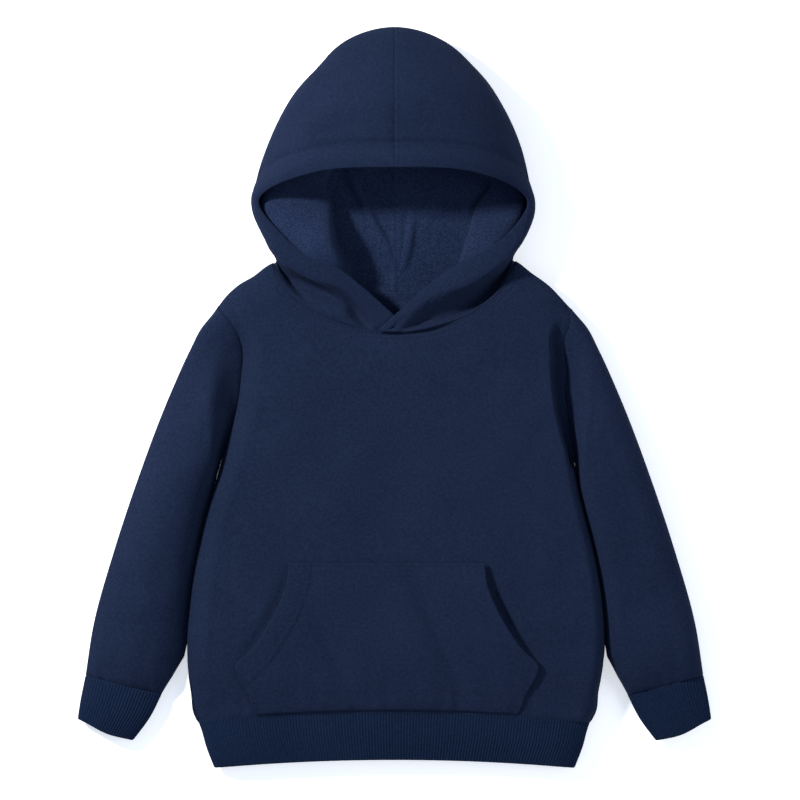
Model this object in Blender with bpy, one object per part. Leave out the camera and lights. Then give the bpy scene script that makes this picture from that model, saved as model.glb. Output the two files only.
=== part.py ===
# Toddler pullover hoodie, laid flat on its back with the hood spread open.
# Metres, +Z up. +X is the viewer's right, +Y runs from the hem to the hood, and the
# garment rests on z = 0. Tables are in millimetres and give one half of the garment:
# "out" is the distance from the centre line, for the left (-X) and the right (+X) half.

import math

import bmesh
import bpy
import numpy as np

MM = 0.001
WALL = 2.0            # fleece, millimetres
RIB_WALL = 2.4        # folded rib knit of the hem band and cuffs
SEAM_GAP = 0.3        # between two pieces where they are sewn
RIM_INSET = 1.0       # how far a wall's inside is drawn back at its sewn edges

# Outer heights of the laid body above the surface, along its length.
BODY_HEIGHT = (
    # y, height
    (113.0, 21.0),
    (60.0, 22.5),
    (-20.0, 24.0),
    (-150.0, 25.0),
    (-230.0, 24.5),
    (-273.0, 20.0),
)
SIDE_ROLL = 34.0      # how far in the front keeps rising from its side edge
SHOULDER_ROLL = 26.0
BACK_ROLL = 15.0      # how far in the back panel is rolled up from the surface
SHOULDER_SEAM_HEIGHT = 12.0

# Side edge of the body, from the shoulder tip round the armhole and down to the hem.
BODY_EDGE = (
    # y, out, height of the front at the armhole seam, height of the side seam
    (75.0, 151.0, 20.5, 12.0),
    (68.0, 143.0, 20.5, 12.0),
    (59.0, 135.5, 20.5, 12.0),
    (43.0, 129.5, 20.5, 12.0),
    (18.0, 130.5, 18.5, 11.5),
    (-10.0, 134.5, 16.0, 11.0),
    (-36.0, 142.5, 14.5, 10.5),
    (-62.0, 149.8, 14.0, 10.0),
    (-94.0, 159.5, 14.0, 10.0),
    (-137.0, 169.0, 14.0, 10.0),
    (-178.0, 174.5, 14.0, 10.0),
    (-219.0, 176.0, 14.0, 10.0),
    (-252.0, 171.5, 14.0, 9.5),
    (-273.0, 164.5, 14.0, 9.0),
)
NECK_COLUMN = 0.70        # share of the body's half width at the neck side point
SHOULDER_COLUMNS = 6
COLUMN_CROWDING = 1.4     # towards the side edge
ARMHOLE_REACH = 4         # how quickly the columns leave the armhole's curve
FRONT_SIDE_ROWS = 11
BACK_SIDE_ROWS = 7
BACK_NECK_POINTS = 7
ARMHOLE_END_ROLL = 11.0   # how far from its two ends the armhole seam turns under
SHOULDER_TIP = (151.0, 75.0)
UNDERARM_Y = -62.0

# Neckline: part of an ellipse in front, and a shallow curve at the back.
NECK_CENTRE_Y = 142.5
NECK_HALF_WIDTH = 112.0
NECK_DROP = 86.0
NECK_SIDE_ANGLE = math.radians(70.0)
BACK_NECK_Y = 88.2

# Hem seam and hem band.
HEM_SEAM_Y = -265.0
HEM_SEAM_SAG = 8.0    # how much lower the seam is at the sides
HEM_LENGTH = 41.6
HEM_BAND = (
    # share of the way down, half width, height, edge height
    (0.0, 164.5, 20.0, 9.0),
    (0.5, 160.5, 18.5, 8.5),
    (1.0, 153.0, 15.0, 7.0),
)
HEM_RIBS = 208
RIB_HEIGHT = 0.7
POINTS_A_RIB = 2
RIBS_A_SPAN = 2       # ribs that one span of the plain inside backs

# Sleeve: outer edge as laid, and the inner edge where it leaves the body.
SLEEVE_OUTER = (
    # y, out
    (75.0, 151.6),
    (60.0, 164.0),
    (43.0, 172.5),
    (2.0, 191.0),
    (-69.0, 218.0),
    (-130.0, 238.2),
    (-192.0, 255.4),
    (-235.0, 262.2),
)
SLEEVE_INNER = (
    # y, distance outside the body's edge
    (-62.0, 0.6),
    (-90.0, 0.9),
    (-212.0, 0.9),
    (-222.0, 3.0),
    (-236.0, 14.0),
    (-251.0, 26.0),
)
SLEEVE_HEIGHT = (
    # share of the way down, height, edge height
    (0.0, 24.0, 11.0),
    (0.3, 26.0, 10.5),
    (0.7, 24.0, 10.0),
    (0.95, 22.0, 9.5),
    (1.0, 18.0, 8.5),
)
SLEEVE_RINGS = (
    # from and to, as shares of the way down, and the spans between
    (0.0, 0.16, 4),
    (0.16, 0.97, 9),
    (0.97, 1.0, 2),
)
CAP_FADE = 0.45       # share of the sleeve over which its rings straighten
SLEEVE_RISE = 0.13    # share of the sleeve over which it rises from the armhole
SLEEVE_POINTS = 14    # points across its upper side
EDGE_CROWDING = 0.75  # 0 spaces them evenly

# Cuff: its seam end and its open end, as (out, y) of the outer and the inner edge.
CUFF = (
    # share of the way, outer out, outer y, inner out, inner y, height, edge height
    (0.0, 262.2, -235.0, 197.5, -251.5, 18.0, 8.5),
    (0.55, 266.5, -256.0, 208.5, -272.5, 17.0, 8.2),
    (1.0, 269.0, -272.0, 222.0, -290.0, 14.5, 7.0),
)
CUFF_RIBS = 44
BAND_RINGS = 3        # rings of a ribbed band, its two ends included
LOOP_DETAIL = 201     # points across a ring before it is divided into ribs

# Kangaroo pocket on the front.
POCKET_CENTRE = -6.4
POCKET_OUTLINE = (
    # y, half width
    (-139.0, 83.0),
    (-157.0, 85.0),
    (-175.0, 92.0),
    (-195.0, 103.0),
    (-212.0, 115.5),
    (-225.0, 128.5),
    (-233.0, 126.5),
    (-248.0, 118.0),
    (-262.0, 109.5),
)
POCKET_ROWS = (
    # from and to, as shares of the way down, and the spans between
    (0.0, 0.7, 7),
    (0.7, 1.0, 4),
)
POCKET_COLUMNS = 17
POCKET_SEAM_BOW = 1.5     # how much lower its rows are at 100 mm from the middle
POCKET_PUFF = 0.9         # how far it stands off the front in its middle
POCKET_PUFF_SLANT = 0.5   # and how much more at its right opening, less at its left
POCKET_PUFF_END = 0.9     # share of the way down at which it lies on the front again
POCKET_FOLD_SHARE = 0.5   # part of the folds' depth that the pocket shows here

# Soft troughs in the front, the pocket and the sleeves, seen from above.
# start x, start y, end x, end y, half width, depth
FRONT_FOLDS = (
    (-141.0, 84.0, -129.0, 50.0, 7.0, 2.6),
    (146.0, 80.0, 140.0, 60.0, 6.0, 2.2),
    (-163.0, -245.0, -150.0, -271.0, 6.0, 2.0),
)
POCKET_FOLDS = (
    (-68.0, -187.0, -43.0, -232.0, 8.0, 1.6),
    (-43.0, -232.0, -30.0, -260.0, 8.0, 1.8),
    (17.0, -157.0, 45.0, -220.0, 9.0, 2.2),
    (45.0, -220.0, 62.0, -263.0, 8.0, 2.4),
)

# Hood panel. Each row is one line of the panel, from its open edge round the outline
# to the centre back seam. "neck" is the share of the neckline from the front centre to
# the back centre at which the line starts; the other columns are (out, y, height).
HOOD_LINES = (
    # neck, low, strip, side, arc, top
    (-0.055, (43, 107.5, 30), (90, 133.5, 33), (117.3, 168, 42), (66, 190.5, 60), (0, 194, 67)),
    (0.02, (47, 101, 33), (95.5, 127, 34.5), (120.2, 169.5, 36), (66, 199, 61.5), (0, 203, 68)),
    (0.09, (52, 92, 30.5), (100, 120.5, 29), (121.6, 171.5, 28), (67, 207.5, 60.5), (0, 213, 66.5)),
    (0.14, (57, 88, 22.5), (102.5, 119.5, 23), (122, 171, 24), (70, 219, 56.5), (0, 229, 63.5)),
    (0.23, (76, 87, 20.5), (104.5, 120, 18), (122.2, 170, 19), (74, 236, 49), (0, 257, 56)),
    (0.36, (95, 103.5, 17.8), (106, 122, 14), (122.2, 170, 14), (79, 259, 33), (0, 292, 40)),
    (0.50, (105.5, 121, 11.2), (107.5, 130, 9.5), (121, 168, 8.5), (80, 264, 14), (0, 315, 17)),
    (0.57, (94, 121, 0), (99, 133, 0), (110, 168, 0), (71, 252, 0), (0, 300, 0)),
    (0.66, (74, 113, 13), (80, 134, 16), (86, 165, 15), (66, 218, 6), (0, 276, 0)),
    (0.76, (48, 111, 20), (57, 136, 22), (59.5, 163, 21), (58, 194, 14), (0, 255, 0)),
    (0.82, (40, 109, 3), (49.5, 137, 1), (51.5, 163, 1), (50, 193, 1), (0, 238, 0)),
    (0.91, (20, 109, 0), (25, 137, 0), (26, 162, 0), (26, 190, 0), (0, 220, 0)),
    (1.00, (0, 109, 0), (0, 136, 0), (0, 161, 0), (0, 187, 0), (0, 202, 0)),
)
STEPS_A_LINE = 2
STEPS_ALONG = (2, 3, 3, 3, 4)
SHOULDER_CORNER_GAP = 1.6     # more room where three seams meet
SHOULDER_CORNER_WIDTH = 0.08  # as a share of the neckline
RIGHT_LAP_LIFT = 3.4          # the right front end lies on the left one
LAP_END = 0.19                # share of the neckline at which the lap ends
LAP_FADE = 0.09

COLOURS = {
    "face": (0.017, 0.027, 0.057),
    "rib": (0.012, 0.020, 0.047),
}


def smooth(keys, values, at):
    """Smooth curve through table values, read at any number of places."""
    keys = np.asarray(keys, float)
    values = np.asarray(values, float)
    at = np.clip(np.asarray(at, float), min(keys[0], keys[-1]), max(keys[0], keys[-1]))
    if keys[0] > keys[-1]:
        keys = keys[::-1]
        values = values[::-1]
    slopes = np.gradient(values, keys, axis=0)
    span = np.clip(np.searchsorted(keys, at, side="right") - 1, 0, len(keys) - 2)
    width = keys[span + 1] - keys[span]
    part = (at - keys[span]) / width
    if values.ndim > 1:
        part = part[..., None]
        width = width[..., None]
    start = (1 + 2 * part) * (1 - part) ** 2
    end = part ** 2 * (3 - 2 * part)
    leave = part * (1 - part) ** 2 * width
    arrive = part ** 2 * (part - 1) * width
    return (start * values[span] + end * values[span + 1]
            + leave * slopes[span] + arrive * slopes[span + 1])


def column(table, number):
    return [row[number] for row in table]


def mirrored(grid):
    return grid * (-1, 1, 1)


def spaced(table):
    """Shares at even steps within each row of a table, ends included."""
    parts = [np.linspace(start, end, spans + 1)[:-1] for start, end, spans in table]
    return np.concatenate(parts + [[table[-1][1]]])


def roll(distance, reach):
    """A quarter round: 0 at the edge, 1 from reach on."""
    left = 1 - np.clip(np.asarray(distance, float) / reach, 0, 1)
    return np.sqrt(1 - left ** 2)


def neck_point(share):
    """Plan of the neckline, from the front centre (0) over the side (0.5) to the back (1)."""
    share = np.asarray(share, float)
    angle = NECK_SIDE_ANGLE * np.minimum(share, 0.5) * 2
    front_out = NECK_HALF_WIDTH * np.sin(angle)
    front_y = NECK_CENTRE_Y - NECK_DROP * np.cos(angle)
    back = np.clip(2 - 2 * share, 0, 1)
    side_out = NECK_HALF_WIDTH * math.sin(NECK_SIDE_ANGLE)
    side_y = NECK_CENTRE_Y - NECK_DROP * math.cos(NECK_SIDE_ANGLE)
    back_y = BACK_NECK_Y + (side_y - BACK_NECK_Y) * back ** 2
    in_front = share <= 0.5
    return np.where(in_front, front_out, side_out * back), np.where(in_front, front_y, back_y)


def neck_inward(shares):
    """Directions in plan, square to the neckline, towards the hood."""
    before = np.stack(neck_point(np.abs(shares) - 0.01), -1)
    after = np.stack(neck_point(np.abs(shares) + 0.01), -1)
    along = after - before
    square = np.stack([-along[:, 1], along[:, 0]], -1)
    square *= np.sign(square[:, 1:])
    return square / np.linalg.norm(square, axis=1, keepdims=True)


def shoulder_distance(out, y):
    """Distance in plan from the shoulder seam, which ends at the neck side point."""
    tip = np.array(SHOULDER_TIP)
    neck = np.array([float(value) for value in neck_point(0.5)])
    line = tip - neck
    point = np.stack([out, y], axis=-1) - neck
    share = np.clip(point @ line / (line @ line), 0, 1)
    return np.linalg.norm(point - share[..., None] * line, axis=-1)


def fold_depth(x, y, folds):
    """Depth of the soft troughs at a place, each fading to its two ends."""
    depth = np.zeros_like(x)
    for start_x, start_y, end_x, end_y, half_width, deep in folds:
        line = np.array([end_x - start_x, end_y - start_y])
        share = ((x - start_x) * line[0] + (y - start_y) * line[1]) / (line @ line)
        near = np.clip(share, 0, 1)
        away = np.hypot(x - start_x - near * line[0], y - start_y - near * line[1])
        depth += deep * np.exp(-(away / half_width) ** 2)
    return depth


def body_edge(y):
    """Out and the heights of the front's and the back's edge at a level of the body."""
    table = [row[1:] for row in BODY_EDGE]
    out, groove, seam = np.moveaxis(smooth(column(BODY_EDGE, 0), table, y), -1, 0)
    from_tip = roll(SHOULDER_TIP[1] - y, ARMHOLE_END_ROLL)
    from_underarm = roll(y - UNDERARM_Y, ARMHOLE_END_ROLL)
    opened = from_tip * from_underarm
    return out, seam + (groove - seam) * opened, seam * (1 - opened)


def front_height(x, y):
    """Outer height of the front at a place in plan."""
    out = np.abs(x)
    edge, low, _ = body_edge(y)
    high = smooth(column(BODY_HEIGHT, 0), column(BODY_HEIGHT, 1), y)
    height = low + (high - low) * roll(edge - out, SIDE_ROLL)
    height = height - fold_depth(x, y, FRONT_FOLDS) * roll(edge - out, SIDE_ROLL)
    rise = roll(shoulder_distance(out, y), SHOULDER_ROLL)
    return SHOULDER_SEAM_HEIGHT + (height - SHOULDER_SEAM_HEIGHT) * rise


def back_height(x, y):
    """Outer height of the back: on the surface, and rolled up at its edges."""
    out = np.abs(x)
    edge, _, low = body_edge(y)
    side = low * (1 - roll(edge - out, BACK_ROLL))
    shoulder = SHOULDER_SEAM_HEIGHT * (1 - roll(shoulder_distance(out, y), BACK_ROLL))
    return np.maximum(side, shoulder)


def hem_seam_y(x):
    half = BODY_EDGE[-1][1]
    return HEM_SEAM_Y - HEM_SEAM_SAG * (x / half) ** 2


def armhole_levels():
    """Levels of the rows at the armhole, which the sleeve's first ring shares."""
    return SHOULDER_TIP[1] + (UNDERARM_Y - SHOULDER_TIP[1]) * sleeve_across()


def sleeve_across():
    """Shares across a sleeve, closer together towards its two edges."""
    even = np.linspace(0, 1, SLEEVE_POINTS)
    return even + EDGE_CROWDING * ((1 - np.cos(np.pi * even)) / 2 - even)


def body_plan(neck_shares, side_rows):
    """Plan of a body panel: rows from its top to the hem, columns from side to side.
    Also gives the directions across its seams with the other panel and the hood."""
    in_neck = np.linspace(0, NECK_COLUMN, len(neck_shares))
    on_shoulder = 1 - (1 - np.linspace(0, 1, SHOULDER_COLUMNS + 1)) ** COLUMN_CROWDING
    across = np.concatenate([in_neck[:-1], NECK_COLUMN + (1 - NECK_COLUMN) * on_shoulder])
    edge_y = np.concatenate([armhole_levels()[:-1],
                             np.linspace(UNDERARM_Y, BODY_EDGE[-1][0], side_rows)])
    down = (edge_y[0] - edge_y) / (edge_y[0] - edge_y[-1])
    edge_out, front_edge, back_edge = body_edge(edge_y)
    edge = np.stack([edge_out, edge_y], -1)

    neck = np.stack(neck_point(neck_shares), -1)
    shoulder = neck[-1] + (np.array(SHOULDER_TIP) - neck[-1]) * on_shoulder[1:, None]
    top = np.concatenate([neck, shoulder])
    bottom_x = BODY_EDGE[-1][1] * across
    bottom = np.stack([bottom_x, hem_seam_y(bottom_x)], -1)
    middle = np.stack([0 * down, top[0, 1] + (bottom[0, 1] - top[0, 1]) * down], -1)

    a = across[None, :, None]
    b = down[:, None, None]
    # Straight lines between the two ends, bent by how far each border leaves its own
    # straight line; the armhole bends only the columns beside it.
    ruled = (1 - b) * top[None] + b * bottom[None]
    top_ends = np.array([middle[0], edge[0]])
    bottom_ends = np.array([middle[-1], edge[-1]])
    straight = (1 - b) * top_ends + b * bottom_ends
    bent = np.stack([middle, edge], axis=1) - straight
    plan = ruled + (1 - a) * bent[:, :1] + a ** ARMHOLE_REACH * bent[:, 1:]
    sides = np.zeros((*plan.shape[:2], 3))
    sides[0, len(neck_shares) - 1:, 2] = 1
    sides[:, -1, 2] = front_edge - back_edge < WALL
    neck_seam = np.zeros_like(sides)
    neck_seam[0, :len(neck_shares) - 1, :2] = neck_inward(neck_shares[:-1])
    plan = np.concatenate([plan[:, :0:-1] * (-1, 1), plan], axis=1)
    return plan, [np.concatenate([mirrored(seam[:, :0:-1]), seam], axis=1)
                  for seam in (sides, neck_seam)]


def grid_faces(rows, columns, closed=False):
    """Quads of a grid; a closed one joins its last column to its first."""
    spans = columns if closed else columns - 1
    faces = []
    for row in range(rows - 1):
        for step in range(spans):
            after = (step + 1) % columns
            faces.append((row * columns + step, (row + 1) * columns + step,
                          (row + 1) * columns + after, row * columns + after))
    return faces


def make_object(name, points, faces, colour):
    """Mesh object from millimetre points, with its own material."""
    mesh = bpy.data.meshes.new(name)
    work = bmesh.new()
    verts = [work.verts.new(tuple(float(value) * MM for value in point)) for point in points]
    for face in faces:
        work.faces.new([verts[number] for number in face])
    work.to_mesh(mesh)
    work.free()
    mesh.shade_smooth()
    item = bpy.data.objects.new(name, mesh)
    garment.objects.link(item)
    material = bpy.data.materials.new(name + "_cloth")
    material.use_nodes = True
    shader = material.node_tree.nodes["Principled BSDF"]
    shader.inputs["Base Color"].default_value = (*COLOURS[colour], 1.0)
    shader.inputs["Roughness"].default_value = 0.9
    shader.inputs["Metallic"].default_value = 0.0
    mesh.materials.append(material)
    return item


def face_normals(grid, closed):
    """Outward directions at the points of a grid, from the quads round each of them."""
    wrapped = np.concatenate([grid, grid[:, :1]], axis=1) if closed else grid
    down = wrapped[1:] - wrapped[:-1]
    across = wrapped[:, 1:] - wrapped[:, :-1]
    quads = np.cross(down[:, :-1] + down[:, 1:], across[:-1] + across[1:])
    normals = np.zeros_like(wrapped)
    for row, step in ((0, 0), (0, 1), (1, 0), (1, 1)):
        rows, steps = quads.shape[:2]
        normals[row:row + rows, step:step + steps] += quads
    if closed:
        normals[:, 0] += normals[:, -1]
        normals = normals[:, :-1]
    return normals / np.linalg.norm(normals, axis=2, keepdims=True)


def inner_face(grid, closed, seams):
    """The outer face moved inwards, and drawn back a little along its free edges. At a
    seam, a field of directions that is zero elsewhere, the wall stays square to them."""
    normals = face_normals(grid, closed)
    for across in seams:
        normals -= across * np.sum(normals * across, axis=2, keepdims=True)
    normals /= np.linalg.norm(normals, axis=2, keepdims=True)
    inner = grid - WALL * normals
    for edge, beside in ((0, 1), (-1, -2)):
        inner[edge] += drawn_back(grid[beside] - grid[edge])
        if not closed:
            inner[:, edge] += drawn_back(grid[:, beside] - grid[:, edge])
    return inner


def drawn_back(step):
    """Part of a step away from an edge, no longer than the inset and a third of the step."""
    length = np.linalg.norm(step, axis=-1, keepdims=True)
    return step / length * np.minimum(RIM_INSET, length / 3)


def cloth_piece(name, grid, closed=False, flip=False, seams=()):
    """A cloth wall between a grid, its outer face, and the same grid moved inwards."""
    if flip:
        grid = grid[:, ::-1]
        seams = [across[:, ::-1] for across in seams]
    rows, columns = grid.shape[:2]
    inner = inner_face(grid, closed, seams)
    count = rows * columns
    faces = grid_faces(rows, columns, closed)
    faces += [tuple(count + number for number in face[::-1]) for face in faces]
    if closed:
        rims = [[row * columns + step for step in range(columns)] for row in (0, rows - 1)]
        rims = [rims[0] + rims[0][:1], (rims[1] + rims[1][:1])[::-1]]
    else:
        top = [step for step in range(columns)]
        right = [row * columns + columns - 1 for row in range(rows)]
        bottom = [(rows - 1) * columns + step for step in range(columns)][::-1]
        left = [row * columns for row in range(rows)][::-1]
        rims = [top, right, bottom, left]
    for rim in rims:
        for here, after in zip(rim[:-1], rim[1:]):
            faces.append((here, after, count + after, count + here))
    points = np.concatenate([grid.reshape(-1, 3), inner.reshape(-1, 3)])
    return make_object(name, points, faces, "face")


def build_front():
    hood = hood_line_shares()
    shares = np.concatenate([[0], hood[(hood > HOOD_LINES[1][0]) & (hood <= 0.5)]])
    plan, seams = body_plan(shares, FRONT_SIDE_ROWS)
    x = plan[..., 0]
    y = plan[..., 1]
    height = front_height(x, y) + SEAM_GAP / 2
    cloth_piece("front", np.stack([x, y, height], -1), seams=seams)


def build_back():
    plan, seams = body_plan(np.linspace(1, 0.5, BACK_NECK_POINTS), BACK_SIDE_ROWS)
    x = plan[..., 0]
    y = plan[..., 1]
    height = np.maximum(back_height(x, y) - SEAM_GAP / 2, 0)
    cloth_piece("back", np.stack([x, y, height], -1), flip=True, seams=seams)


def tube_heights(distance, height, edge_height, top_roll):
    """Heights of the upper and the lower side of a flat tube, by distance from its edge."""
    top = edge_height + (height - edge_height) * roll(distance, top_roll)
    bottom = edge_height * (1 - roll(distance, BACK_ROLL))
    return top, bottom


def sleeve_grid():
    across = sleeve_across()
    armhole_y = armhole_levels()
    armhole_out, armhole_top, armhole_bottom = body_edge(armhole_y)
    armhole_out = armhole_out + SEAM_GAP
    bulge = armhole_out - (armhole_out[0] + (armhole_out[-1] - armhole_out[0]) * across)
    grid = []
    for ring in spaced(SLEEVE_RINGS):
        outer_y = SHOULDER_TIP[1] + (CUFF[0][2] - SHOULDER_TIP[1]) * ring
        inner_y = UNDERARM_Y + (CUFF[0][4] - UNDERARM_Y) * ring
        outer_out = float(smooth(column(SLEEVE_OUTER, 0), column(SLEEVE_OUTER, 1), outer_y))
        body_out = float(body_edge(inner_y)[0])
        clear = np.interp(-inner_y, [-row[0] for row in SLEEVE_INNER], column(SLEEVE_INNER, 1))
        inner_out = body_out + float(clear)
        height = float(smooth(column(SLEEVE_HEIGHT, 0), column(SLEEVE_HEIGHT, 1), ring))
        edge_height = float(smooth(column(SLEEVE_HEIGHT, 0), column(SLEEVE_HEIGHT, 2), ring))
        fade = max(0.0, 1 - ring / CAP_FADE) ** 2
        rise = min(1.0, ring / SLEEVE_RISE)
        rise = rise * rise * (3 - 2 * rise)
        out = outer_out + (inner_out - outer_out) * across + fade * bulge
        y = outer_y + (inner_y - outer_y) * across
        width = math.hypot(inner_out - outer_out, inner_y - outer_y)
        near = np.minimum(across, 1 - across) * width
        top, bottom = tube_heights(near, height, edge_height, width / 2)
        top = armhole_top + (top - armhole_top) * rise
        bottom = armhole_bottom + (bottom - armhole_bottom) * rise
        over = np.stack([out, y, top], -1)
        under = np.stack([out, y, bottom], -1)[-2:0:-1]
        grid.append(np.concatenate([over, under]))
    return np.array(grid)


def build_sleeves():
    grid = sleeve_grid()
    cloth_piece("sleeve_right", grid, closed=True, flip=True)
    cloth_piece("sleeve_left", mirrored(grid), closed=True)


def ribbed_tube(name, outer, inner, flip=False):
    """A tube with ribs raised in its outer rings over a plain inside with fewer points."""
    rows, points = outer.shape[:2]
    inner_rows, inner_points = inner.shape[:2]
    faces = grid_faces(rows, points, True)
    first = rows * points
    faces += [tuple(first + number for number in face[::-1])
              for face in grid_faces(inner_rows, inner_points, True)]
    ratio = points // inner_points
    for outer_row, inner_row, way in ((0, 0, 1), (rows - 1, inner_rows - 1, -1)):
        for span in range(inner_points):
            here = first + inner_row * inner_points + span
            after = first + inner_row * inner_points + (span + 1) % inner_points
            fan = [outer_row * points + (span * ratio + step) % points for step in range(ratio + 1)]
            for step in range(ratio):
                corner = here if step < ratio // 2 else after
                faces.append((fan[step], fan[step + 1], corner)[::way])
            faces.append((here, fan[ratio // 2], after)[::way])
    if flip:
        faces = [face[::-1] for face in faces]
    points = np.concatenate([outer.reshape(-1, 3), inner.reshape(-1, 3)])
    return make_object(name, points, faces, "rib")


def even_loop(plan, top, bottom, count):
    """Points at even steps round a ring, over its upper side and back along its lower one."""
    over = np.column_stack([plan, top])
    under = np.column_stack([plan, bottom])[-2::-1]
    loop = np.concatenate([over, under])
    steps = np.linalg.norm(np.diff(loop, axis=0), axis=1)
    along = np.concatenate([[0], np.cumsum(steps)])
    wanted = np.arange(count) / count * along[-1]
    return np.stack([np.interp(wanted, along, loop[:, axis]) for axis in range(3)], -1)


def ring_outward(ring):
    """Directions that point out of a ring, square to it within its own plane."""
    tangent = np.roll(ring, -1, axis=0) - np.roll(ring, 1, axis=0)
    tangent /= np.linalg.norm(tangent, axis=1, keepdims=True)
    middle = ring.mean(axis=0)
    spread = ring - middle
    normal = np.linalg.svd(spread, full_matrices=False)[2][2]
    outward = np.cross(tangent, normal)
    outward /= np.linalg.norm(outward, axis=1, keepdims=True)
    if np.sum(outward * spread) < 0:
        outward = -outward
    return outward


def rib_rings(rings):
    """Outer rings with every second point sunk, and two plain inner rings."""
    outer = []
    inner = []
    for ring in rings:
        outward = ring_outward(ring)
        sunk = np.arange(len(ring)) % POINTS_A_RIB == 1
        outer.append(ring - outward * (RIB_HEIGHT * sunk)[:, None])
        inner.append((ring - outward * RIB_WALL)[::POINTS_A_RIB * RIBS_A_SPAN])
    outer = np.array(outer)
    outer[..., 2] = np.maximum(outer[..., 2], 0)
    return outer, np.array([inner[0], inner[-1]])


def build_hem_band():
    across = np.sin(np.linspace(-np.pi / 2, np.pi / 2, LOOP_DETAIL))
    rings = []
    for share in np.linspace(0, 1, BAND_RINGS):
        sizes = smooth(column(HEM_BAND, 0), [row[1:] for row in HEM_BAND], share)
        half, height, edge_height = sizes
        x = half * across
        y = hem_seam_y(x) - SEAM_GAP - share * (HEM_LENGTH - SEAM_GAP)
        top, bottom = tube_heights(half - np.abs(x), height, edge_height, SIDE_ROLL)
        rings.append(even_loop(np.stack([x, y], -1), top, bottom, HEM_RIBS * POINTS_A_RIB))
    ribbed_tube("hem_band", *rib_rings(rings))


def build_cuffs():
    across = (1 - np.cos(np.linspace(0, np.pi, LOOP_DETAIL))) / 2
    rings = []
    for share in np.linspace(0, 1, BAND_RINGS):
        values = smooth(column(CUFF, 0), [row[1:] for row in CUFF], share)
        outer_edge = values[0:2]
        inner_edge = values[2:4]
        height, edge_height = values[4:6]
        width = float(np.linalg.norm(inner_edge - outer_edge))
        near = np.minimum(across, 1 - across) * width
        top, bottom = tube_heights(near, height, edge_height, width / 2)
        plan = outer_edge + (inner_edge - outer_edge) * across[:, None]
        plan[:, 1] -= SEAM_GAP
        rings.append(even_loop(plan, top, bottom, CUFF_RIBS * POINTS_A_RIB))
    outer, inner = rib_rings(rings)
    ribbed_tube("cuff_right", outer, inner, flip=True)
    ribbed_tube("cuff_left", mirrored(outer), mirrored(inner))


def build_pocket():
    """The patch pocket, made from the front's own heights and moved out."""
    side = np.sin(np.linspace(-np.pi / 2, np.pi / 2, POCKET_COLUMNS))
    top_y = POCKET_OUTLINE[0][0]
    bottom_y = POCKET_OUTLINE[-1][0]
    grid = []
    for share in spaced(POCKET_ROWS):
        level = top_y + (bottom_y - top_y) * share
        half = float(smooth(column(POCKET_OUTLINE, 0), column(POCKET_OUTLINE, 1), level))
        x = POCKET_CENTRE + half * side
        y = level - POCKET_SEAM_BOW * share * (x / 100) ** 2
        swell = math.sqrt(math.sin(math.pi * min(1.0, share / POCKET_PUFF_END)))
        puff = swell * (POCKET_PUFF + POCKET_PUFF_SLANT * side)
        sunk = POCKET_FOLD_SHARE * fold_depth(x, y, POCKET_FOLDS) * puff.min()
        height = front_height(x, y) + SEAM_GAP / 2 + SEAM_GAP + WALL + puff - sunk
        grid.append(np.stack([x, y, height], -1))
    cloth_piece("pocket", np.array(grid))


def hood_line_places():
    """Places of the hood's lines within its table, in rows."""
    last = len(HOOD_LINES) - 1
    return np.linspace(0, last, last * STEPS_A_LINE + 1)


def hood_line_shares():
    """Shares of the neckline at which the hood's lines start."""
    return smooth(range(len(HOOD_LINES)), column(HOOD_LINES, 0), hood_line_places())


def hood_grid(lap_lift):
    """Outer face of the right hood panel: lines from the neckline up to the centre seam."""
    shares = hood_line_shares()
    table = np.array([line[1:] for line in HOOD_LINES], float)
    # The table goes on past the centre back as its own mirror image, so that the panel
    # meets that seam squarely.
    table = np.concatenate([table, mirrored(table[-2:-1])])
    flat = table.reshape(len(table), -1)
    fine = smooth(range(len(table)), flat, hood_line_places()).reshape(len(shares), -1, 3)

    out, neck_y = neck_point(np.abs(shares))
    out = out * np.sign(shares)
    neck_height = np.where(shares <= 0.5, front_height(out, neck_y), back_height(out, neck_y))
    lift = lap_lift * np.clip((LAP_END - shares) / LAP_FADE, 0, 1)
    neck = np.stack([out, neck_y, neck_height + lift], -1)
    from_corner = (shares - 0.5) / SHOULDER_CORNER_WIDTH
    gap = SEAM_GAP + SHOULDER_CORNER_GAP * np.exp(-from_corner ** 2)
    neck[:, :2] += gap[:, None] * neck_inward(shares)
    fine = np.concatenate([neck[:, None], fine, mirrored(fine[:, -2:-1])], axis=1)

    along = np.concatenate([[0]] + [number + np.arange(1, steps + 1) / steps
                                    for number, steps in enumerate(STEPS_ALONG)])
    grid = np.stack([smooth(range(fine.shape[1]), line, along) for line in fine])
    grid[..., 0] += SEAM_GAP / 2
    grid[..., 2] = np.maximum(grid[..., 2], 0)
    neck_seam = np.zeros_like(grid)
    neck_seam[:, 0, :2] = neck_inward(shares)
    centre_seam = np.zeros_like(grid)
    centre_seam[-1, :, 0] = 1
    centre_seam[:, -1, 0] = 1
    return grid, [neck_seam, centre_seam]


def build_hood():
    grid, seams = hood_grid(RIGHT_LAP_LIFT)
    cloth_piece("hood_right", grid, seams=seams)
    grid, seams = hood_grid(0.0)
    cloth_piece("hood_left", mirrored(grid), flip=True, seams=[mirrored(seam) for seam in seams])


for item in list(bpy.data.objects):
    bpy.data.objects.remove(item, do_unlink=True)
garment = bpy.data.collections.new("toddler_hoodie")
bpy.context.scene.collection.children.link(garment)

build_front()
build_back()
build_sleeves()
build_hem_band()
build_cuffs()
build_pocket()
build_hood()
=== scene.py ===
import math

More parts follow.
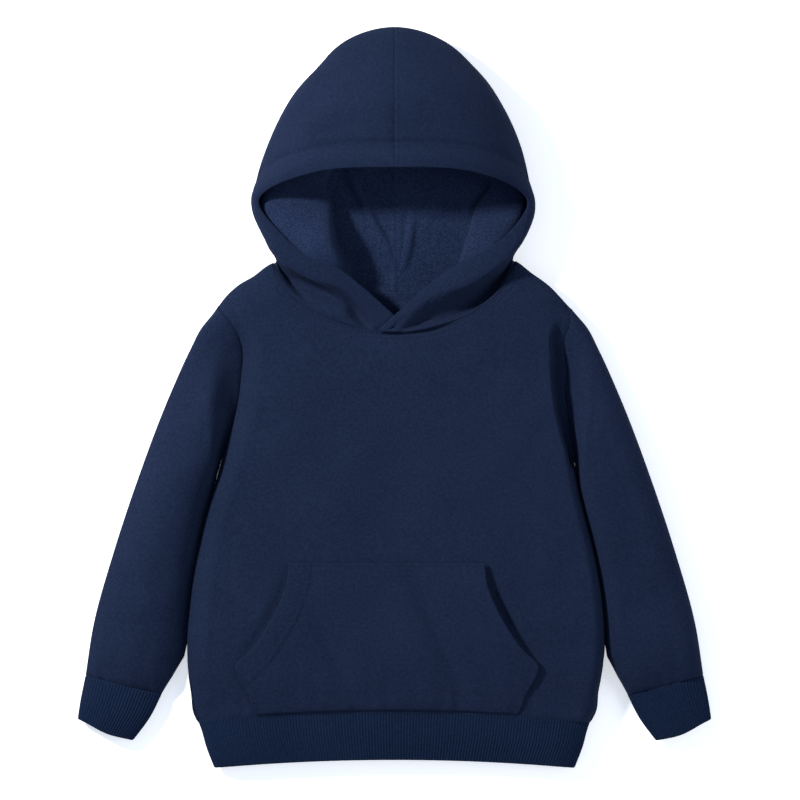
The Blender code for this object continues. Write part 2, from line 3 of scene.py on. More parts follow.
import bpy
import numpy as np
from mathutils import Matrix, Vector


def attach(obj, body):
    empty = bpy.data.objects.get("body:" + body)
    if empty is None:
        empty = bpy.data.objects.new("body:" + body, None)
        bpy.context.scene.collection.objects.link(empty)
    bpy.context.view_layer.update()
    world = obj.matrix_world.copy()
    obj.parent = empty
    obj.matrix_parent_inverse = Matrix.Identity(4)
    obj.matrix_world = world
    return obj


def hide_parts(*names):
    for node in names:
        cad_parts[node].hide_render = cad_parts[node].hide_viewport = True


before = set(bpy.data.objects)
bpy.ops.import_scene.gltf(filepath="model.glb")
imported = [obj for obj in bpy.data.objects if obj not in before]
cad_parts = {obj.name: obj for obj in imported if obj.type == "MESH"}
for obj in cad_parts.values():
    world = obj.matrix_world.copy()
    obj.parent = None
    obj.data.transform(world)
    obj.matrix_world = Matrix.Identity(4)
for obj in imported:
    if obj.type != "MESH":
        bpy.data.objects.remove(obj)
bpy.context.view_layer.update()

# Toddler pullover hoodie, laid flat on its back with the hood spread open.
# All tables are in millimetres: x to the viewer's right, y towards the hood, z up.
# "out" is the distance from the centre line, on either side.

mm = 0.001

bodyCut = {
    "heights": (
        # y, height of the laid front
        (113, 21), (60, 22.5), (-20, 24), (-150, 25), (-230, 24.5), (-273, 20),
    ),
    "edge": (
        # y, out, height at the armhole seam, height of the side seam
        (75, 151, 20.5, 12), (68, 143, 20, 12), (59, 135.5, 17.5, 12), (43, 129.5, 12, 10),
        (18, 130.5, 9, 8), (-10, 134.5, 8, 7.5), (-36, 142.5, 7.5, 7), (-62, 149.8, 7.5, 6.5),
        (-94, 159.5, 7.5, 6.5), (-137, 169, 7.5, 6.5), (-178, 174.5, 7.5, 6.5), (-219, 176, 8, 7),
        (-252, 171.5, 9, 8), (-273, 164.5, 10, 9),
    ),
    "sideRoll": {-1: (19, 0.85), 1: (10, 0.5)},  # reach and fullness, each side
    "shoulderRoll": 26,
    "backRoll": 15,
    "shoulderSeamHeight": 12,
    "shoulderTip": (151, 75),
    "underarmY": -62,
    "armholeEndRoll": 11,
    "armholeReach": 4,
    "neckColumn": 0.70,           # share of the half width at the neck side point
    "neckCentreY": 142.5,
    "neckHalfWidth": 112,
    "neckDrop": 86,
    "neckSideAngle": math.radians(70),
    "backNeckY": 88.2,
    "hemSeamY": -265,
    "underBand": 2,               # how far the cloth goes on under the hem band
    "hemSeamSag": 8,
    "wall": 2,
    "seamLap": 0.25,              # how far two pieces run into each other where they are sewn
    "sewnEdge": 0.55,             # share of the wall's thickness left at a sewn edge
    "freeEdge": 0.15,             # and at a folded, free one
    "edgeRound": 0.6,             # share of the wall's thickness in which an edge is rounded
    "seamSink": 0.8,              # soft dip along a seam
    "seamReach": 2.4,
}


def smoothRead(keys, values, at):
    # smooth curve through table values
    keys = np.asarray(keys, float)
    values = np.asarray(values, float)
    at = np.clip(np.asarray(at, float), min(keys[0], keys[-1]), max(keys[0], keys[-1]))
    if keys[0] > keys[-1]:
        keys = keys[::-1]
        values = values[::-1]
    slopes = np.gradient(values, keys, axis=0)
    span = np.clip(np.searchsorted(keys, at, side="right") - 1, 0, len(keys) - 2)
    width = keys[span + 1] - keys[span]
    part = (at - keys[span]) / width
    if values.ndim > 1:
        part = part[..., None]
        width = width[..., None]
    start = (1 + 2 * part) * (1 - part) ** 2
    end = part ** 2 * (3 - 2 * part)
    leave = part * (1 - part) ** 2 * width
    arrive = part ** 2 * (part - 1) * width
    return (start * values[span] + end * values[span + 1]
            + leave * slopes[span] + arrive * slopes[span + 1])


def readTable(table, at):
    # the same for rows that begin with their key
    rows = np.array(table, float)
    return smoothRead(rows[:, 0], rows[:, 1] if rows.shape[1] == 2 else rows[:, 1:], at)


def rolled(distance, reach):
    # a quarter round: 0 at the edge, 1 from reach on
    left = 1 - np.clip(np.asarray(distance, float) / reach, 0, 1)
    return np.sqrt(1 - left ** 2)


def eased(value):
    value = np.clip(value, 0, 1)
    return value * value * (3 - 2 * value)


def bell(value):
    return np.exp(-value ** 2)


def unit(vectors):
    return vectors / np.linalg.norm(vectors, axis=-1, keepdims=True)


def fineEnds(values):
    # more steps beside both ends, where an edge is rounded
    values = np.asarray(values, float)
    first = values[0] + (values[1] - values[0]) * np.array([0.1, 0.28, 0.58])
    last = values[-1] + (values[-2] - values[-1]) * np.array([0.58, 0.28, 0.1])
    return np.concatenate([values[:1], first, values[1:-1], last, values[-1:]])


def creaseDepth(x, y, creases):
    # soft troughs, each along a bent line that fades to its two ends; ridges are negative
    depth = np.zeros(np.shape(x))
    steps = np.linspace(0, 1, 40)
    for startX, startY, bendX, bendY, endX, endY, halfWidth, deep in creases:
        lineX = (1 - steps) ** 2 * startX + 2 * steps * (1 - steps) * bendX + steps ** 2 * endX
        lineY = (1 - steps) ** 2 * startY + 2 * steps * (1 - steps) * bendY + steps ** 2 * endY
        away = np.hypot(x[..., None] - lineX, y[..., None] - lineY)
        share = steps[away.argmin(-1)]
        fade = np.sin(np.pi * (0.1 + 0.8 * share)) ** 0.8
        depth += deep * fade * bell(away.min(-1) / halfWidth)
    return depth


def softWaves(x, y, waves):
    # long, low and uneven: direction in degrees, length, height, shift
    total = np.zeros(np.shape(x))
    for direction, length, height, shift in waves:
        angle = math.radians(direction)
        along = x * math.cos(angle) + y * math.sin(angle)
        beside = y * math.cos(angle) - x * math.sin(angle)
        bend = 1.1 * np.sin(beside * 2 * math.pi / (length * 1.9) + shift)
        total += height * np.sin(along * 2 * math.pi / length + shift + bend)
    return total


def neckPoint(share):
    # plan of the neckline, from the front centre (0) over the side (0.5) to the back (1)
    share = np.asarray(share, float)
    sideAngle = bodyCut["neckSideAngle"]
    angle = sideAngle * np.minimum(share, 0.5) * 2
    frontOut = bodyCut["neckHalfWidth"] * np.sin(angle)
    frontY = bodyCut["neckCentreY"] - bodyCut["neckDrop"] * np.cos(angle)
    back = np.clip(2 - 2 * share, 0, 1)
    sideOut = bodyCut["neckHalfWidth"] * math.sin(sideAngle)
    sideY = bodyCut["neckCentreY"] - bodyCut["neckDrop"] * math.cos(sideAngle)
    backY = bodyCut["backNeckY"] + (sideY - bodyCut["backNeckY"]) * back ** 2
    inFront = share <= 0.5
    return np.where(inFront, frontOut, sideOut * back), np.where(inFront, frontY, backY)


def neckInward(shares):
    # square to the neckline, towards the hood
    before = np.stack(neckPoint(np.abs(shares) - 0.01), -1)
    along = np.stack(neckPoint(np.abs(shares) + 0.01), -1) - before
    square = np.stack([-along[:, 1], along[:, 0]], -1)
    return unit(square * np.sign(square[:, 1:]))


def shoulderDistance(out, y):
    tip = np.array(bodyCut["shoulderTip"])
    neck = np.array([float(value) for value in neckPoint(0.5)])
    line = tip - neck
    point = np.stack([out, y], axis=-1) - neck
    share = np.clip(point @ line / (line @ line), 0, 1)
    return np.linalg.norm(point - share[..., None] * line, axis=-1)


def bodyEdge(y):
    # out, and the heights of the front's and the back's edge, at a level of the body
    out, groove, seam = np.moveaxis(readTable(bodyCut["edge"], y), -1, 0)
    fromTip = rolled(bodyCut["shoulderTip"][1] - y, bodyCut["armholeEndRoll"])
    fromUnderarm = rolled(y - bodyCut["underarmY"], bodyCut["armholeEndRoll"])
    opened = fromTip * fromUnderarm
    return out, seam + (groove - seam) * opened, seam * (1 - opened)


frontPanel = {
    "columns": (46, 36),          # half the neckline, and the shoulder
    "rows": (64, 92),             # beside the armhole, and below it
    "calmSide": 20,               # within these reaches of its edges it lies without creases
    "calmShoulder": 16,
    "folds": (
        # start x, start y, end x, end y, half width, depth: those of the solid
        (-141, 84, -129, 50, 7, 2.6), (144, 80, 130, 62, 6, 2.2), (-163, -245, -150, -271, 6, 2),
    ),
    "creases": (
        # start x, y, bend x, y, end x, y, half width, depth
        (-128, 20, -112, 2, -96, -30, 9, 0.9), (-131, -4, -118, -22, -110, -52, 7, 0.7),
        (126, 26, 108, 8, 92, -20, 9, 0.8), (132, -8, 116, -26, 108, -60, 8, 0.8),
        (-60, 52, -48, 36, -20, 28, 9, 0.5), (30, 40, 56, 38, 82, 58, 9, 0.5),
        (-148, -120, -136, -150, -134, -190, 10, 0.8), (150, -126, 140, -160, 142, -205, 10, 0.8),
        (-92, -70, -40, -86, 14, -78, 14, 0.5), (20, -34, 60, -48, 98, -92, 13, 0.5),
        (96, -136, 118, -170, 124, -204, 9, 0.7), (-116, -150, -124, -186, -120, -226, 9, 0.6),
        # those that run on through the pocket
        (-69, -184, -50, -222, -30, -260, 6.5, 2.5), (16, -152, 40, -200, 62, -264, 9, 3.8),
        (-2, -172, 16, -214, 38, -262, 10, -1), (-96, -196, -84, -226, -78, -258, 8, 0.6),
    ),
    "waves": (
        (18, 92, 0.35, 0.4), (74, 118, 0.4, 1.9), (131, 71, 0.25, 3.3), (100, 47, 0.12, 5.2),
    ),
}


# How the garment lies a little off its even cut, for all pieces alike.

layNudges = (
    # x, y, reach across, reach up, shift across, shift up
    (-122, 148, 26, 30, 4.6, 0), (122, 162, 26, 42, -5.5, 0), (68, 280, 22, 24, 2.8, 0),
    (107, 122, 10, 9, -2, 0), (109, 112, 15, 9, 0, 3.4), (123, 103, 12, 12, 0, 2.2),
    (137, 93, 18, 14, 0, 4.6), (-103, 119, 8, 6, 1.6, 0), (-113, 110, 14, 9, 0, 2.6),
    (-137, 93, 20, 16, 0, 6.4), (-147, 85, 9, 9, 0, 2.6), (-169, -268, 14, 12, -3.4, 0),
    (169, -266, 14, 12, 3.4, 0), (-246, -284, 20, 10, -0.8, -2.8), (246, -284, 22, 10, 1, -3.4),
)

rightArmhole = {
    "shift": (
        # y, how much further out the right armhole lies
        (80, 0), (75, 0.3), (70, 4.5), (65, 9), (60, 12), (50, 13), (43, 14.5),
        (33, 16), (18, 15.5), (8, 13.5), (-10, 12.5), (-23, 10.5), (-43, 7.5),
        (-62, 4.5), (-86, 2), (-137, 2.5), (-188, 3), (-219, 2), (-250, 0),
    ),
    "inwards": 60,
    "groove": (
        # y, where the body's cloth drops towards the sleeve
        (82, 145), (72, 143), (63, 137.5), (55.7, 133.5), (37.8, 133), (3, 134.7),
        (-23.4, 139.8), (-43, 145), (-62, 150),
    ),
    "flank": (1.5, 4.5),          # where that drop begins, and its width
    "fades": (12, 8),             # towards the shoulder, and the underarm
}


def armholeShift(x, y):
    # as the right armhole lies further out, the cloth on both sides of it moves with it
    edge = bodyEdge(y)[0]
    outer = readTable(sleeveCut["outer"], y)
    inside = eased((x - edge + rightArmhole["inwards"]) / rightArmhole["inwards"])
    outside = np.clip(1 - (x - edge) / np.maximum(outer - edge, 1), 0, 1)
    return readTable(rightArmhole["shift"], y) * np.where(x < edge, inside, outside)


def asLaid(grid):
    grid = np.array(grid, float)
    x = grid[..., 0].copy()
    y = grid[..., 1].copy()
    grid[..., 0] += armholeShift(x, y)
    for atX, atY, reachX, reachY, moveX, moveY in layNudges:
        near = np.exp(-((x - atX) / reachX) ** 2 - ((y - atY) / reachY) ** 2)
        grid[..., 0] += moveX * near
        grid[..., 1] += moveY * near
    return grid


def foldDepth(x, y, folds):
    depth = np.zeros(np.shape(x))
    for startX, startY, endX, endY, halfWidth, deep in folds:
        line = np.array([endX - startX, endY - startY])
        share = ((x - startX) * line[0] + (y - startY) * line[1]) / (line @ line)
        near = np.clip(share, 0, 1)
        away = np.hypot(x - startX - near * line[0], y - startY - near * line[1])
        depth += deep * bell(away / halfWidth)
    return depth


def sideRise(distance, side):
    reach, power = bodyCut["sideRoll"][side]
    return (1 - (1 - np.clip(distance / reach, 0, 1)) ** 2) ** power


def frontHeight(x, y):
    # outer height of the front, as its solid has it
    out = np.abs(x)
    edge, low, _ = bodyEdge(y)
    high = readTable(bodyCut["heights"], y)
    rise = np.where(x < 0, sideRise(edge - out, -1), sideRise(edge - out, 1))
    height = low + (high - low) * rise - foldDepth(x, y, frontPanel["folds"]) * rise
    grooveX = readTable(rightArmhole["groove"], y)
    before, width = rightArmhole["flank"]
    above, below = rightArmhole["fades"]
    groove = eased((x + armholeShift(x, y) - grooveX + before) / width)
    groove = groove * eased((rightArmhole["groove"][0][0] - y) / above)
    groove = groove * (x > 0) * eased((y - bodyCut["underarmY"]) / below)
    height = height + (low - height) * groove
    shoulderRise = rolled(shoulderDistance(out, y), bodyCut["shoulderRoll"])
    seam = bodyCut["shoulderSeamHeight"]
    return seam + (height - seam) * shoulderRise


def backHeight(x, y):
    out = np.abs(x)
    edge, _, low = bodyEdge(y)
    side = low * (1 - rolled(edge - out, bodyCut["backRoll"]))
    shoulder = 1 - rolled(shoulderDistance(out, y), bodyCut["backRoll"])
    return np.maximum(side, bodyCut["shoulderSeamHeight"] * shoulder)


def hemSeamY(x):
    return bodyCut["hemSeamY"] - bodyCut["hemSeamSag"] * (x / bodyCut["edge"][-1][1]) ** 2


def nearLine(x, y, line):
    # distance in plan to a line of many points
    best = np.full(np.shape(x), 1e9)
    for pointX, pointY in line:
        best = np.minimum(best, np.hypot(x - pointX, y - pointY))
    return best


def necklinePoints(count):
    shares = np.linspace(-0.5, 0.5, count)
    out, y = neckPoint(np.abs(shares))
    return np.stack([out * np.sign(shares), y], -1)


neckStitching = {"rows": (1.9, 5.6), "channel": 0.6, "channelWidth": 1.1}
hemGathers = {"height": 0.55, "reach": 24.0, "spacing": 21.0}


def gathered(x, distance):
    # small uneven tucks that run up from a seam with a band and die out
    phase = x / hemGathers["spacing"] * 2 * math.pi
    uneven = np.sin(phase + 1.3 * np.sin(phase * 0.37 + 0.8)) + 0.5 * np.sin(phase * 1.73 + 2.1)
    return hemGathers["height"] * uneven * np.exp(-distance / hemGathers["reach"] * 2.2)


def mouthDepth(x, y):
    # the front sinks a little beside the pocket's two openings
    high, low = pocketCut["openingY"]
    share = np.clip((high - y) / (high - low), 0, 1)
    depth = np.zeros(np.shape(x))
    for side, deep, width in pocketCut["mouths"]:
        away = (side * (x - pocketCut["centre"]) - readTable(pocketCut["outline"], y)) * 0.75
        depth += deep * np.sin(np.pi * share) * bell((away - 1.5) / width)
    return depth


def frontSurface(x, y):
    # the front as it shows: its solid's form with creases, waves and sunk seams
    inside = rolled(bodyEdge(y)[0] - np.abs(x), frontPanel["calmSide"])
    inside = inside * rolled(shoulderDistance(np.abs(x), y), frontPanel["calmShoulder"])
    height = frontHeight(x, y) - creaseDepth(x, y, frontPanel["creases"]) * inside
    toHem = np.maximum(y - hemSeamY(x), 0)
    toNeck = nearLine(x, y, necklinePoints(160))
    calm = inside * eased(toNeck / 22) * eased(toHem / 12)
    height = height + softWaves(x, y, frontPanel["waves"]) * calm
    height = height + gathered(x, toHem) * inside * eased(toHem / 4)
    for away in neckStitching["rows"]:
        channel = bell((toNeck - away) / neckStitching["channelWidth"])
        height = height - neckStitching["channel"] * channel
    return height


def bodyPlan(neckShares, shoulderColumns, armholeRows, sideRows):
    inNeck = np.linspace(0, bodyCut["neckColumn"], len(neckShares))
    onShoulder = np.linspace(0, 1, shoulderColumns + 1)
    onShoulder = fineEnds(1 - (1 - onShoulder) ** 1.15)
    span = 1 - bodyCut["neckColumn"]
    across = np.concatenate([inNeck[:-1], bodyCut["neckColumn"] + span * onShoulder])
    tip = bodyCut["shoulderTip"]
    armhole = np.linspace(tip[1], bodyCut["underarmY"], armholeRows)
    below = np.linspace(bodyCut["underarmY"], bodyCut["edge"][-1][0], sideRows)
    edgeY = fineEnds(np.concatenate([armhole[:-1], below]))
    down = (edgeY[0] - edgeY) / (edgeY[0] - edgeY[-1])
    edge = np.stack([bodyEdge(edgeY)[0], edgeY], -1)
    neck = np.stack(neckPoint(neckShares), -1)
    shoulder = neck[-1] + (np.array(tip) - neck[-1]) * onShoulder[1:, None]
    top = np.concatenate([neck, shoulder])
    bottomX = bodyCut["edge"][-1][1] * across
    bottom = np.stack([bottomX, hemSeamY(bottomX) - bodyCut["underBand"]], -1)
    middle = np.stack([0 * down, top[0, 1] + (bottom[0, 1] - top[0, 1]) * down], -1)
    a = across[None, :, None]
    b = down[:, None, None]
    ruled = (1 - b) * top[None] + b * bottom[None]
    topEnds = np.array([middle[0], edge[0]])
    bottomEnds = np.array([middle[-1], edge[-1]])
    bent = np.stack([middle, edge], axis=1) - ((1 - b) * topEnds + b * bottomEnds)
    plan = ruled + (1 - a) * bent[:, :1] + a ** bodyCut["armholeReach"] * bent[:, 1:]
    return np.concatenate([plan[:, :0:-1] * (-1, 1), plan], axis=1)


# Meshes

def gridNormals(grid, closed=False):
    wrapped = np.concatenate([grid, grid[:, :1]], axis=1) if closed else grid
    down = wrapped[1:] - wrapped[:-1]
    across = wrapped[:, 1:] - wrapped[:, :-1]
    quads = np.cross(down[:, :-1] + down[:, 1:], across[:-1] + across[1:])
    quads /= np.maximum(np.linalg.norm(quads, axis=2, keepdims=True), 1e-9)
    normals = np.zeros_like(wrapped)
    rows, steps = quads.shape[:2]
    for row, step in ((0, 0), (0, 1), (1, 0), (1, 1)):
        normals[row:row + rows, step:step + steps] += quads
    if closed:
        normals[:, 0] += normals[:, -1]
        normals = normals[:, :-1]
    return unit(normals)


def clothLengths(grid):
    # distances along the cloth, across its columns and down its rows
    across = np.linalg.norm(np.diff(grid, axis=1), axis=2)
    down = np.linalg.norm(np.diff(grid, axis=0), axis=2)
    u = np.concatenate([np.zeros((len(grid), 1)), np.cumsum(across, axis=1)], axis=1)
    v = np.concatenate([np.zeros((1, grid.shape[1])), np.cumsum(down, axis=0)])
    return u, v


def gridQuads(rows, columns, closed=False):
    spans = columns if closed else columns - 1
    row, step = np.meshgrid(np.arange(rows - 1), np.arange(spans), indexing="ij")
    after = (step + 1) % columns
    quads = np.stack([row * columns + step, (row + 1) * columns + step,
                      (row + 1) * columns + after, row * columns + after], -1)
    return quads.reshape(-1, 4)


def addObject(name, data, place=(0, 0, 0)):
    item = bpy.data.objects.new(name, data)
    item.location = place
    bpy.context.scene.collection.objects.link(item)
    return item


def makePiece(name, points, faces, uv, materials, materialIndex=None):
    mesh = bpy.data.meshes.new(name)
    mesh.from_pydata((points * mm).tolist(), [], [list(face) for face in faces])
    uvLayer = mesh.uv_layers.new(name="cloth")
    corner = np.zeros(len(mesh.loops), np.int32)
    mesh.loops.foreach_get("vertex_index", corner)
    uvLayer.data.foreach_set("uv", (uv[corner] * mm).astype(np.float32).ravel())
    for material in materials:
        mesh.materials.append(material)
    if materialIndex is not None:
        mesh.polygons.foreach_set("material_index", np.asarray(materialIndex, np.int32))
    mesh.shade_smooth()
    mesh.update()
    item = addObject(name, mesh)
    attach(item, "root")
    return item


def makeWall(name, outer, inner, lengths, materials, closed, flip=False):
    # a skin over an outer and an inner grid; the last material is the inner one's
    rows, columns = outer.shape[:2]
    count = rows * columns
    quads = gridQuads(rows, columns, closed)
    first = np.arange(columns)
    last = (rows - 1) * columns + first
    left = np.arange(rows) * columns
    if closed:
        rims = [np.append(first, first[0]), np.append(last, last[0])[::-1]]
    else:
        rims = [first, left + columns - 1, last[::-1], left[::-1]]
    edges = [np.stack([rim[:-1], rim[1:], count + rim[1:], count + rim[:-1]], -1) for rim in rims]
    faces = np.concatenate([quads, count + quads[:, ::-1]] + edges)
    inside = np.zeros(len(faces), int)
    inside[len(quads):2 * len(quads)] = len(materials) - 1
    if flip:
        faces = faces[:, ::-1]
    points = np.concatenate([outer.reshape(-1, 3), inner.reshape(-1, 3)])
    uv = np.stack(lengths, -1).reshape(-1, 2)
    return makePiece(name, points, faces, np.concatenate([uv, uv]), materials, inside)


def clothShell(name, grid, closed=False, flip=False, seams=(), free=0.0, thin=1.0):
    # a wall under the outer face that the grid gives, with rounded edges; free tells
    # which part of each edge is folded and not sewn, as a field from 0 to 1
    free = np.broadcast_to(free, grid.shape[:2])
    thin = np.broadcast_to(thin, grid.shape[:2])
    if flip:
        grid = grid[:, ::-1]
        free = free[:, ::-1]
        thin = thin[:, ::-1]
        seams = [seam[:, ::-1] for seam in seams]
    wall = bodyCut["wall"]
    normals = gridNormals(grid, closed)
    for seam in seams:
        normals -= seam * np.sum(normals * seam, axis=2, keepdims=True)
    normals = unit(normals)
    u, v = clothLengths(grid)
    edge = np.minimum(v, v[-1:] - v)
    if not closed:
        edge = np.minimum(edge, np.minimum(u, u[:, -1:] - u))
    left = bodyCut["sewnEdge"] + (bodyCut["freeEdge"] - bodyCut["sewnEdge"]) * free
    full = left + (1 - left) * rolled(edge, wall * bodyCut["edgeRound"])
    sink = bodyCut["seamSink"] * (1 - free) * bell(edge / bodyCut["seamReach"])
    half = (wall / 2 * thin)[..., None]
    middle = grid - normals * half
    middle[..., 2] -= sink * normals[..., 2]
    outer = middle + normals * half * full[..., None]
    inner = middle - normals * half * full[..., None]
    return makeWall(name, outer, inner, (u, v), [faceKnit, brushedKnit], closed)


# Finishes

finishes = {
    "face": {"colour": (0.0060, 0.0105, 0.0258), "light": (0.0109, 0.0170, 0.0390),
             "wale": 1.25, "course": 0.95, "bump": 0.22, "fuzz": 0.9,
             "roughness": 0.85, "gloss": 0.02, "mottle": 2.2},
    "inside": {"colour": (0.0043, 0.0093, 0.0280), "light": (0.0188, 0.0290, 0.0635),
               "wale": 1.6, "course": 1.3, "bump": 0.15, "fuzz": 1.6,
               "roughness": 0.9, "gloss": 0.03, "mottle": 1.5},
    "rib": {"colour": (0.0046, 0.0100, 0.0258), "light": (0.0084, 0.0161, 0.0390),
            "wale": 1.25, "course": 0.95, "bump": 0.22, "fuzz": 0.6,
            "roughness": 0.85, "gloss": 0.02, "mottle": 2.0},
    "thread": {"colour": (0.0030, 0.0080, 0.0270), "light": (0.0065, 0.0135, 0.0400),
               "twist": 0.4, "roughness": 0.6, "gloss": 0.12},
}
knit = {
    "broad": 55,                  # sizes of the wide shading and of the fibres
    "fibre": 0.8,
    # mottle and broad are uneven tone of the cloth; loops is painted shade, darker in the grooves
    # between the knit's loops
    "shades": {"mottle": 2.2, "broad": 0.7, "loops": 0.15},
    "roughSpread": 0.12,
    "bump": (0.55, 0.5),          # strength and depth
    "sheen": {"Sheen Weight": 0.01, "Sheen Roughness": 0.55,
              "Sheen Tint": (0.55, 0.66, 1, 1)},
    "threadBump": (0.4, 0.1),
}


def newMaterial(name):
    material = bpy.data.materials.new(name)
    material.use_nodes = True
    return material, material.node_tree, material.node_tree.nodes["Principled BSDF"]


def setInputs(node, values):
    for socket, value in values.items():
        node.inputs[socket].default_value = value


def noiseFrom(tree, place, size, detail=2.0, roughness=0.5):
    node = tree.nodes.new("ShaderNodeTexNoise")
    setInputs(node, {"Scale": 1 / (size * mm), "Detail": detail, "Roughness": roughness})
    tree.links.new(place.outputs["Object"], node.inputs["Vector"])
    return node.outputs["Fac"]


def shadeWith(tree, shader, finish, share, height, bumpSize):
    # colour between the finish's two by a share, and a bump from a height
    colours = tree.nodes.new("ShaderNodeMix")
    colours.data_type = "RGBA"
    setInputs(colours, {"A": (*finish["colour"], 1.0), "B": (*finish["light"], 1.0)})
    tree.links.new(share, colours.inputs["Factor"])
    tree.links.new(colours.outputs["Result"], shader.inputs["Base Color"])
    bump = tree.nodes.new("ShaderNodeBump")
    setInputs(bump, {"Strength": bumpSize[0], "Distance": bumpSize[1] * mm})
    tree.links.new(height, bump.inputs["Height"])
    tree.links.new(bump.outputs["Normal"], shader.inputs["Normal"])
    shader.inputs["Specular IOR Level"].default_value = finish["gloss"]


def clothFinish(name, finish):
    material, tree, shader = newMaterial(name)

    def maths(operation, *values):
        node = tree.nodes.new("ShaderNodeMath")
        node.operation = operation
        for socket, value in zip(node.inputs, values):
            if isinstance(value, (int, float)):
                socket.default_value = value
            else:
                tree.links.new(value, socket)
        return node.outputs[0]

    place = tree.nodes.new("ShaderNodeTexCoord")
    split = tree.nodes.new("ShaderNodeSeparateXYZ")
    tree.links.new(place.outputs["UV"], split.inputs[0])
    # rows of knit loops: rounded wales with V-shaped legs
    wale = maths("FRACT", maths("DIVIDE", split.outputs["X"], finish["wale"] * mm))
    leg = maths("MULTIPLY", maths("ABSOLUTE", maths("SUBTRACT", wale, 0.5)), 2.0)
    course = maths("DIVIDE", split.outputs["Y"], finish["course"] * mm)
    course = maths("FRACT", maths("ADD", course, maths("MULTIPLY", leg, 0.6)))
    loop = maths("MULTIPLY", maths("ABSOLUTE", maths("SUBTRACT", course, 0.5)), 2.0)
    loops = maths("ADD", maths("MULTIPLY", leg, -0.6), maths("MULTIPLY", loop, -0.4))
    mottle = noiseFrom(tree, place, finish["mottle"], 3.0, 0.6)
    broad = noiseFrom(tree, place, knit["broad"])
    fuzz = noiseFrom(tree, place, knit["fibre"], 4.0, 0.7)

    shades = knit["shades"]
    shade = maths("MULTIPLY_ADD", maths("SUBTRACT", mottle, 0.5), shades["mottle"], 0.5)
    shade = maths("MULTIPLY_ADD", maths("SUBTRACT", broad, 0.5), shades["broad"], shade)
    # painted shade: the colour darkens in the grooves between the knit's loops, after the same relief
    # that the bump uses
    shade = maths("MULTIPLY_ADD", maths("ADD", loops, 0.5), shades["loops"], shade)
    spread = knit["roughSpread"]
    rough = maths("MULTIPLY_ADD", mottle, spread, finish["roughness"] - spread / 2)
    tree.links.new(rough, shader.inputs["Roughness"])
    height = maths("ADD", maths("MULTIPLY", loops, finish["bump"]),
                   maths("MULTIPLY", fuzz, finish["fuzz"]))
    height = maths("ADD", height, maths("MULTIPLY", mottle, finish["fuzz"]))
    shadeWith(tree, shader, finish, shade, height, knit["bump"])
    setInputs(shader, knit["sheen"])
    return material


def threadFinish(name, finish):
    material, tree, shader = newMaterial(name)
    twist = noiseFrom(tree, tree.nodes.new("ShaderNodeTexCoord"), finish["twist"])
    shadeWith(tree, shader, finish, twist, twist, knit["threadBump"])
    shader.inputs["Roughness"].default_value = finish["roughness"]
    return material


faceKnit = clothFinish("fleeceFace", finishes["face"])
brushedKnit = clothFinish("brushedInside", finishes["inside"])
ribKnit = clothFinish("ribKnit", finishes["rib"])
thread = threadFinish("sewingThread", finishes["thread"])
print("finishes made")


# Stitches

stitching = {
    "pitch": 3.1,
    "length": 2.3,
    "radius": 0.27,
    "sides": 5,
    "rings": ((-0.5, 0.35), (-0.28, 1), (0.28, 1), (0.5, 0.35)),  # share, width
    "dip": 0.22,                  # of both ends, into the cloth
    "gap": 7,                     # a longer step along a line isn't sewn
}
stitchLines = {}


def levelLine(grid, normals, field, level):
    # where a field over a grid crosses a level, one point for each column
    points = []
    for step in range(grid.shape[1]):
        crossing = np.nonzero((field[:-1, step] - level) * (field[1:, step] - level) <= 0)[0]
        if len(crossing) == 0:
            continue
        row = crossing[0]
        rise = field[row + 1, step] - field[row, step]
        part = (level - field[row, step]) / rise if rise else 0.0
        place = grid[row, step] + (grid[row + 1, step] - grid[row, step]) * part
        points.append(np.concatenate([place, normals[row, step]]))
    return np.array(points)


def crossLine(grid, normals, field, level, part):
    # the same with one point for each row, within a part of the columns
    return levelLine(*(np.swapaxes(values, 0, 1)[part] for values in (grid, normals, field)), level)


def sew(name, line):
    # stitches at even steps along a line of places and normals
    steps = np.linalg.norm(np.diff(line[:, :3], axis=0), axis=1)
    along = np.concatenate([[0], np.cumsum(steps)])
    at = np.arange(stitching["pitch"] / 2, along[-1], stitching["pitch"])
    at = at[steps[np.searchsorted(along, at) - 1] < stitching["gap"]]

    def readAt(wanted):
        return np.stack([np.interp(wanted, along, values) for values in line.T], -1)

    way = unit(readAt(at + 0.5)[:, :3] - readAt(at - 0.5)[:, :3])
    read = readAt(at)
    stitchLines.setdefault(name, []).append((read[:, :3], way, read[:, 3:]))


def makeStitches(name):
    sides = stitching["sides"]
    turn = (np.arange(sides) / sides * 2 * np.pi)[:, None]
    share, width = np.array(stitching["rings"]).T[:, :, None, None]
    place, way, normal = [np.concatenate(part)[:, None, None] for part in zip(*stitchLines[name])]
    beside = unit(np.cross(normal, way))
    normal = np.cross(way, beside)
    centre = place + way * share * stitching["length"] + normal * (width - 1) * stitching["dip"]
    around = beside * np.cos(turn) + normal * np.sin(turn)
    points = (centre + around * stitching["radius"] * width).reshape(-1, 3)
    last = (len(share) - 1) * sides
    one = [(here + side, here + (side + 1) % sides,
            here + sides + (side + 1) % sides, here + sides + side)
           for here in range(0, last, sides) for side in range(sides)]
    one += [range(sides)[::-1], range(last, last + sides)]
    faces = [[first + corner for corner in face]
             for first in range(0, len(points), last + sides) for face in one]
    item = makePiece(name, points, faces, points[:, :2], [thread])


# Front and back

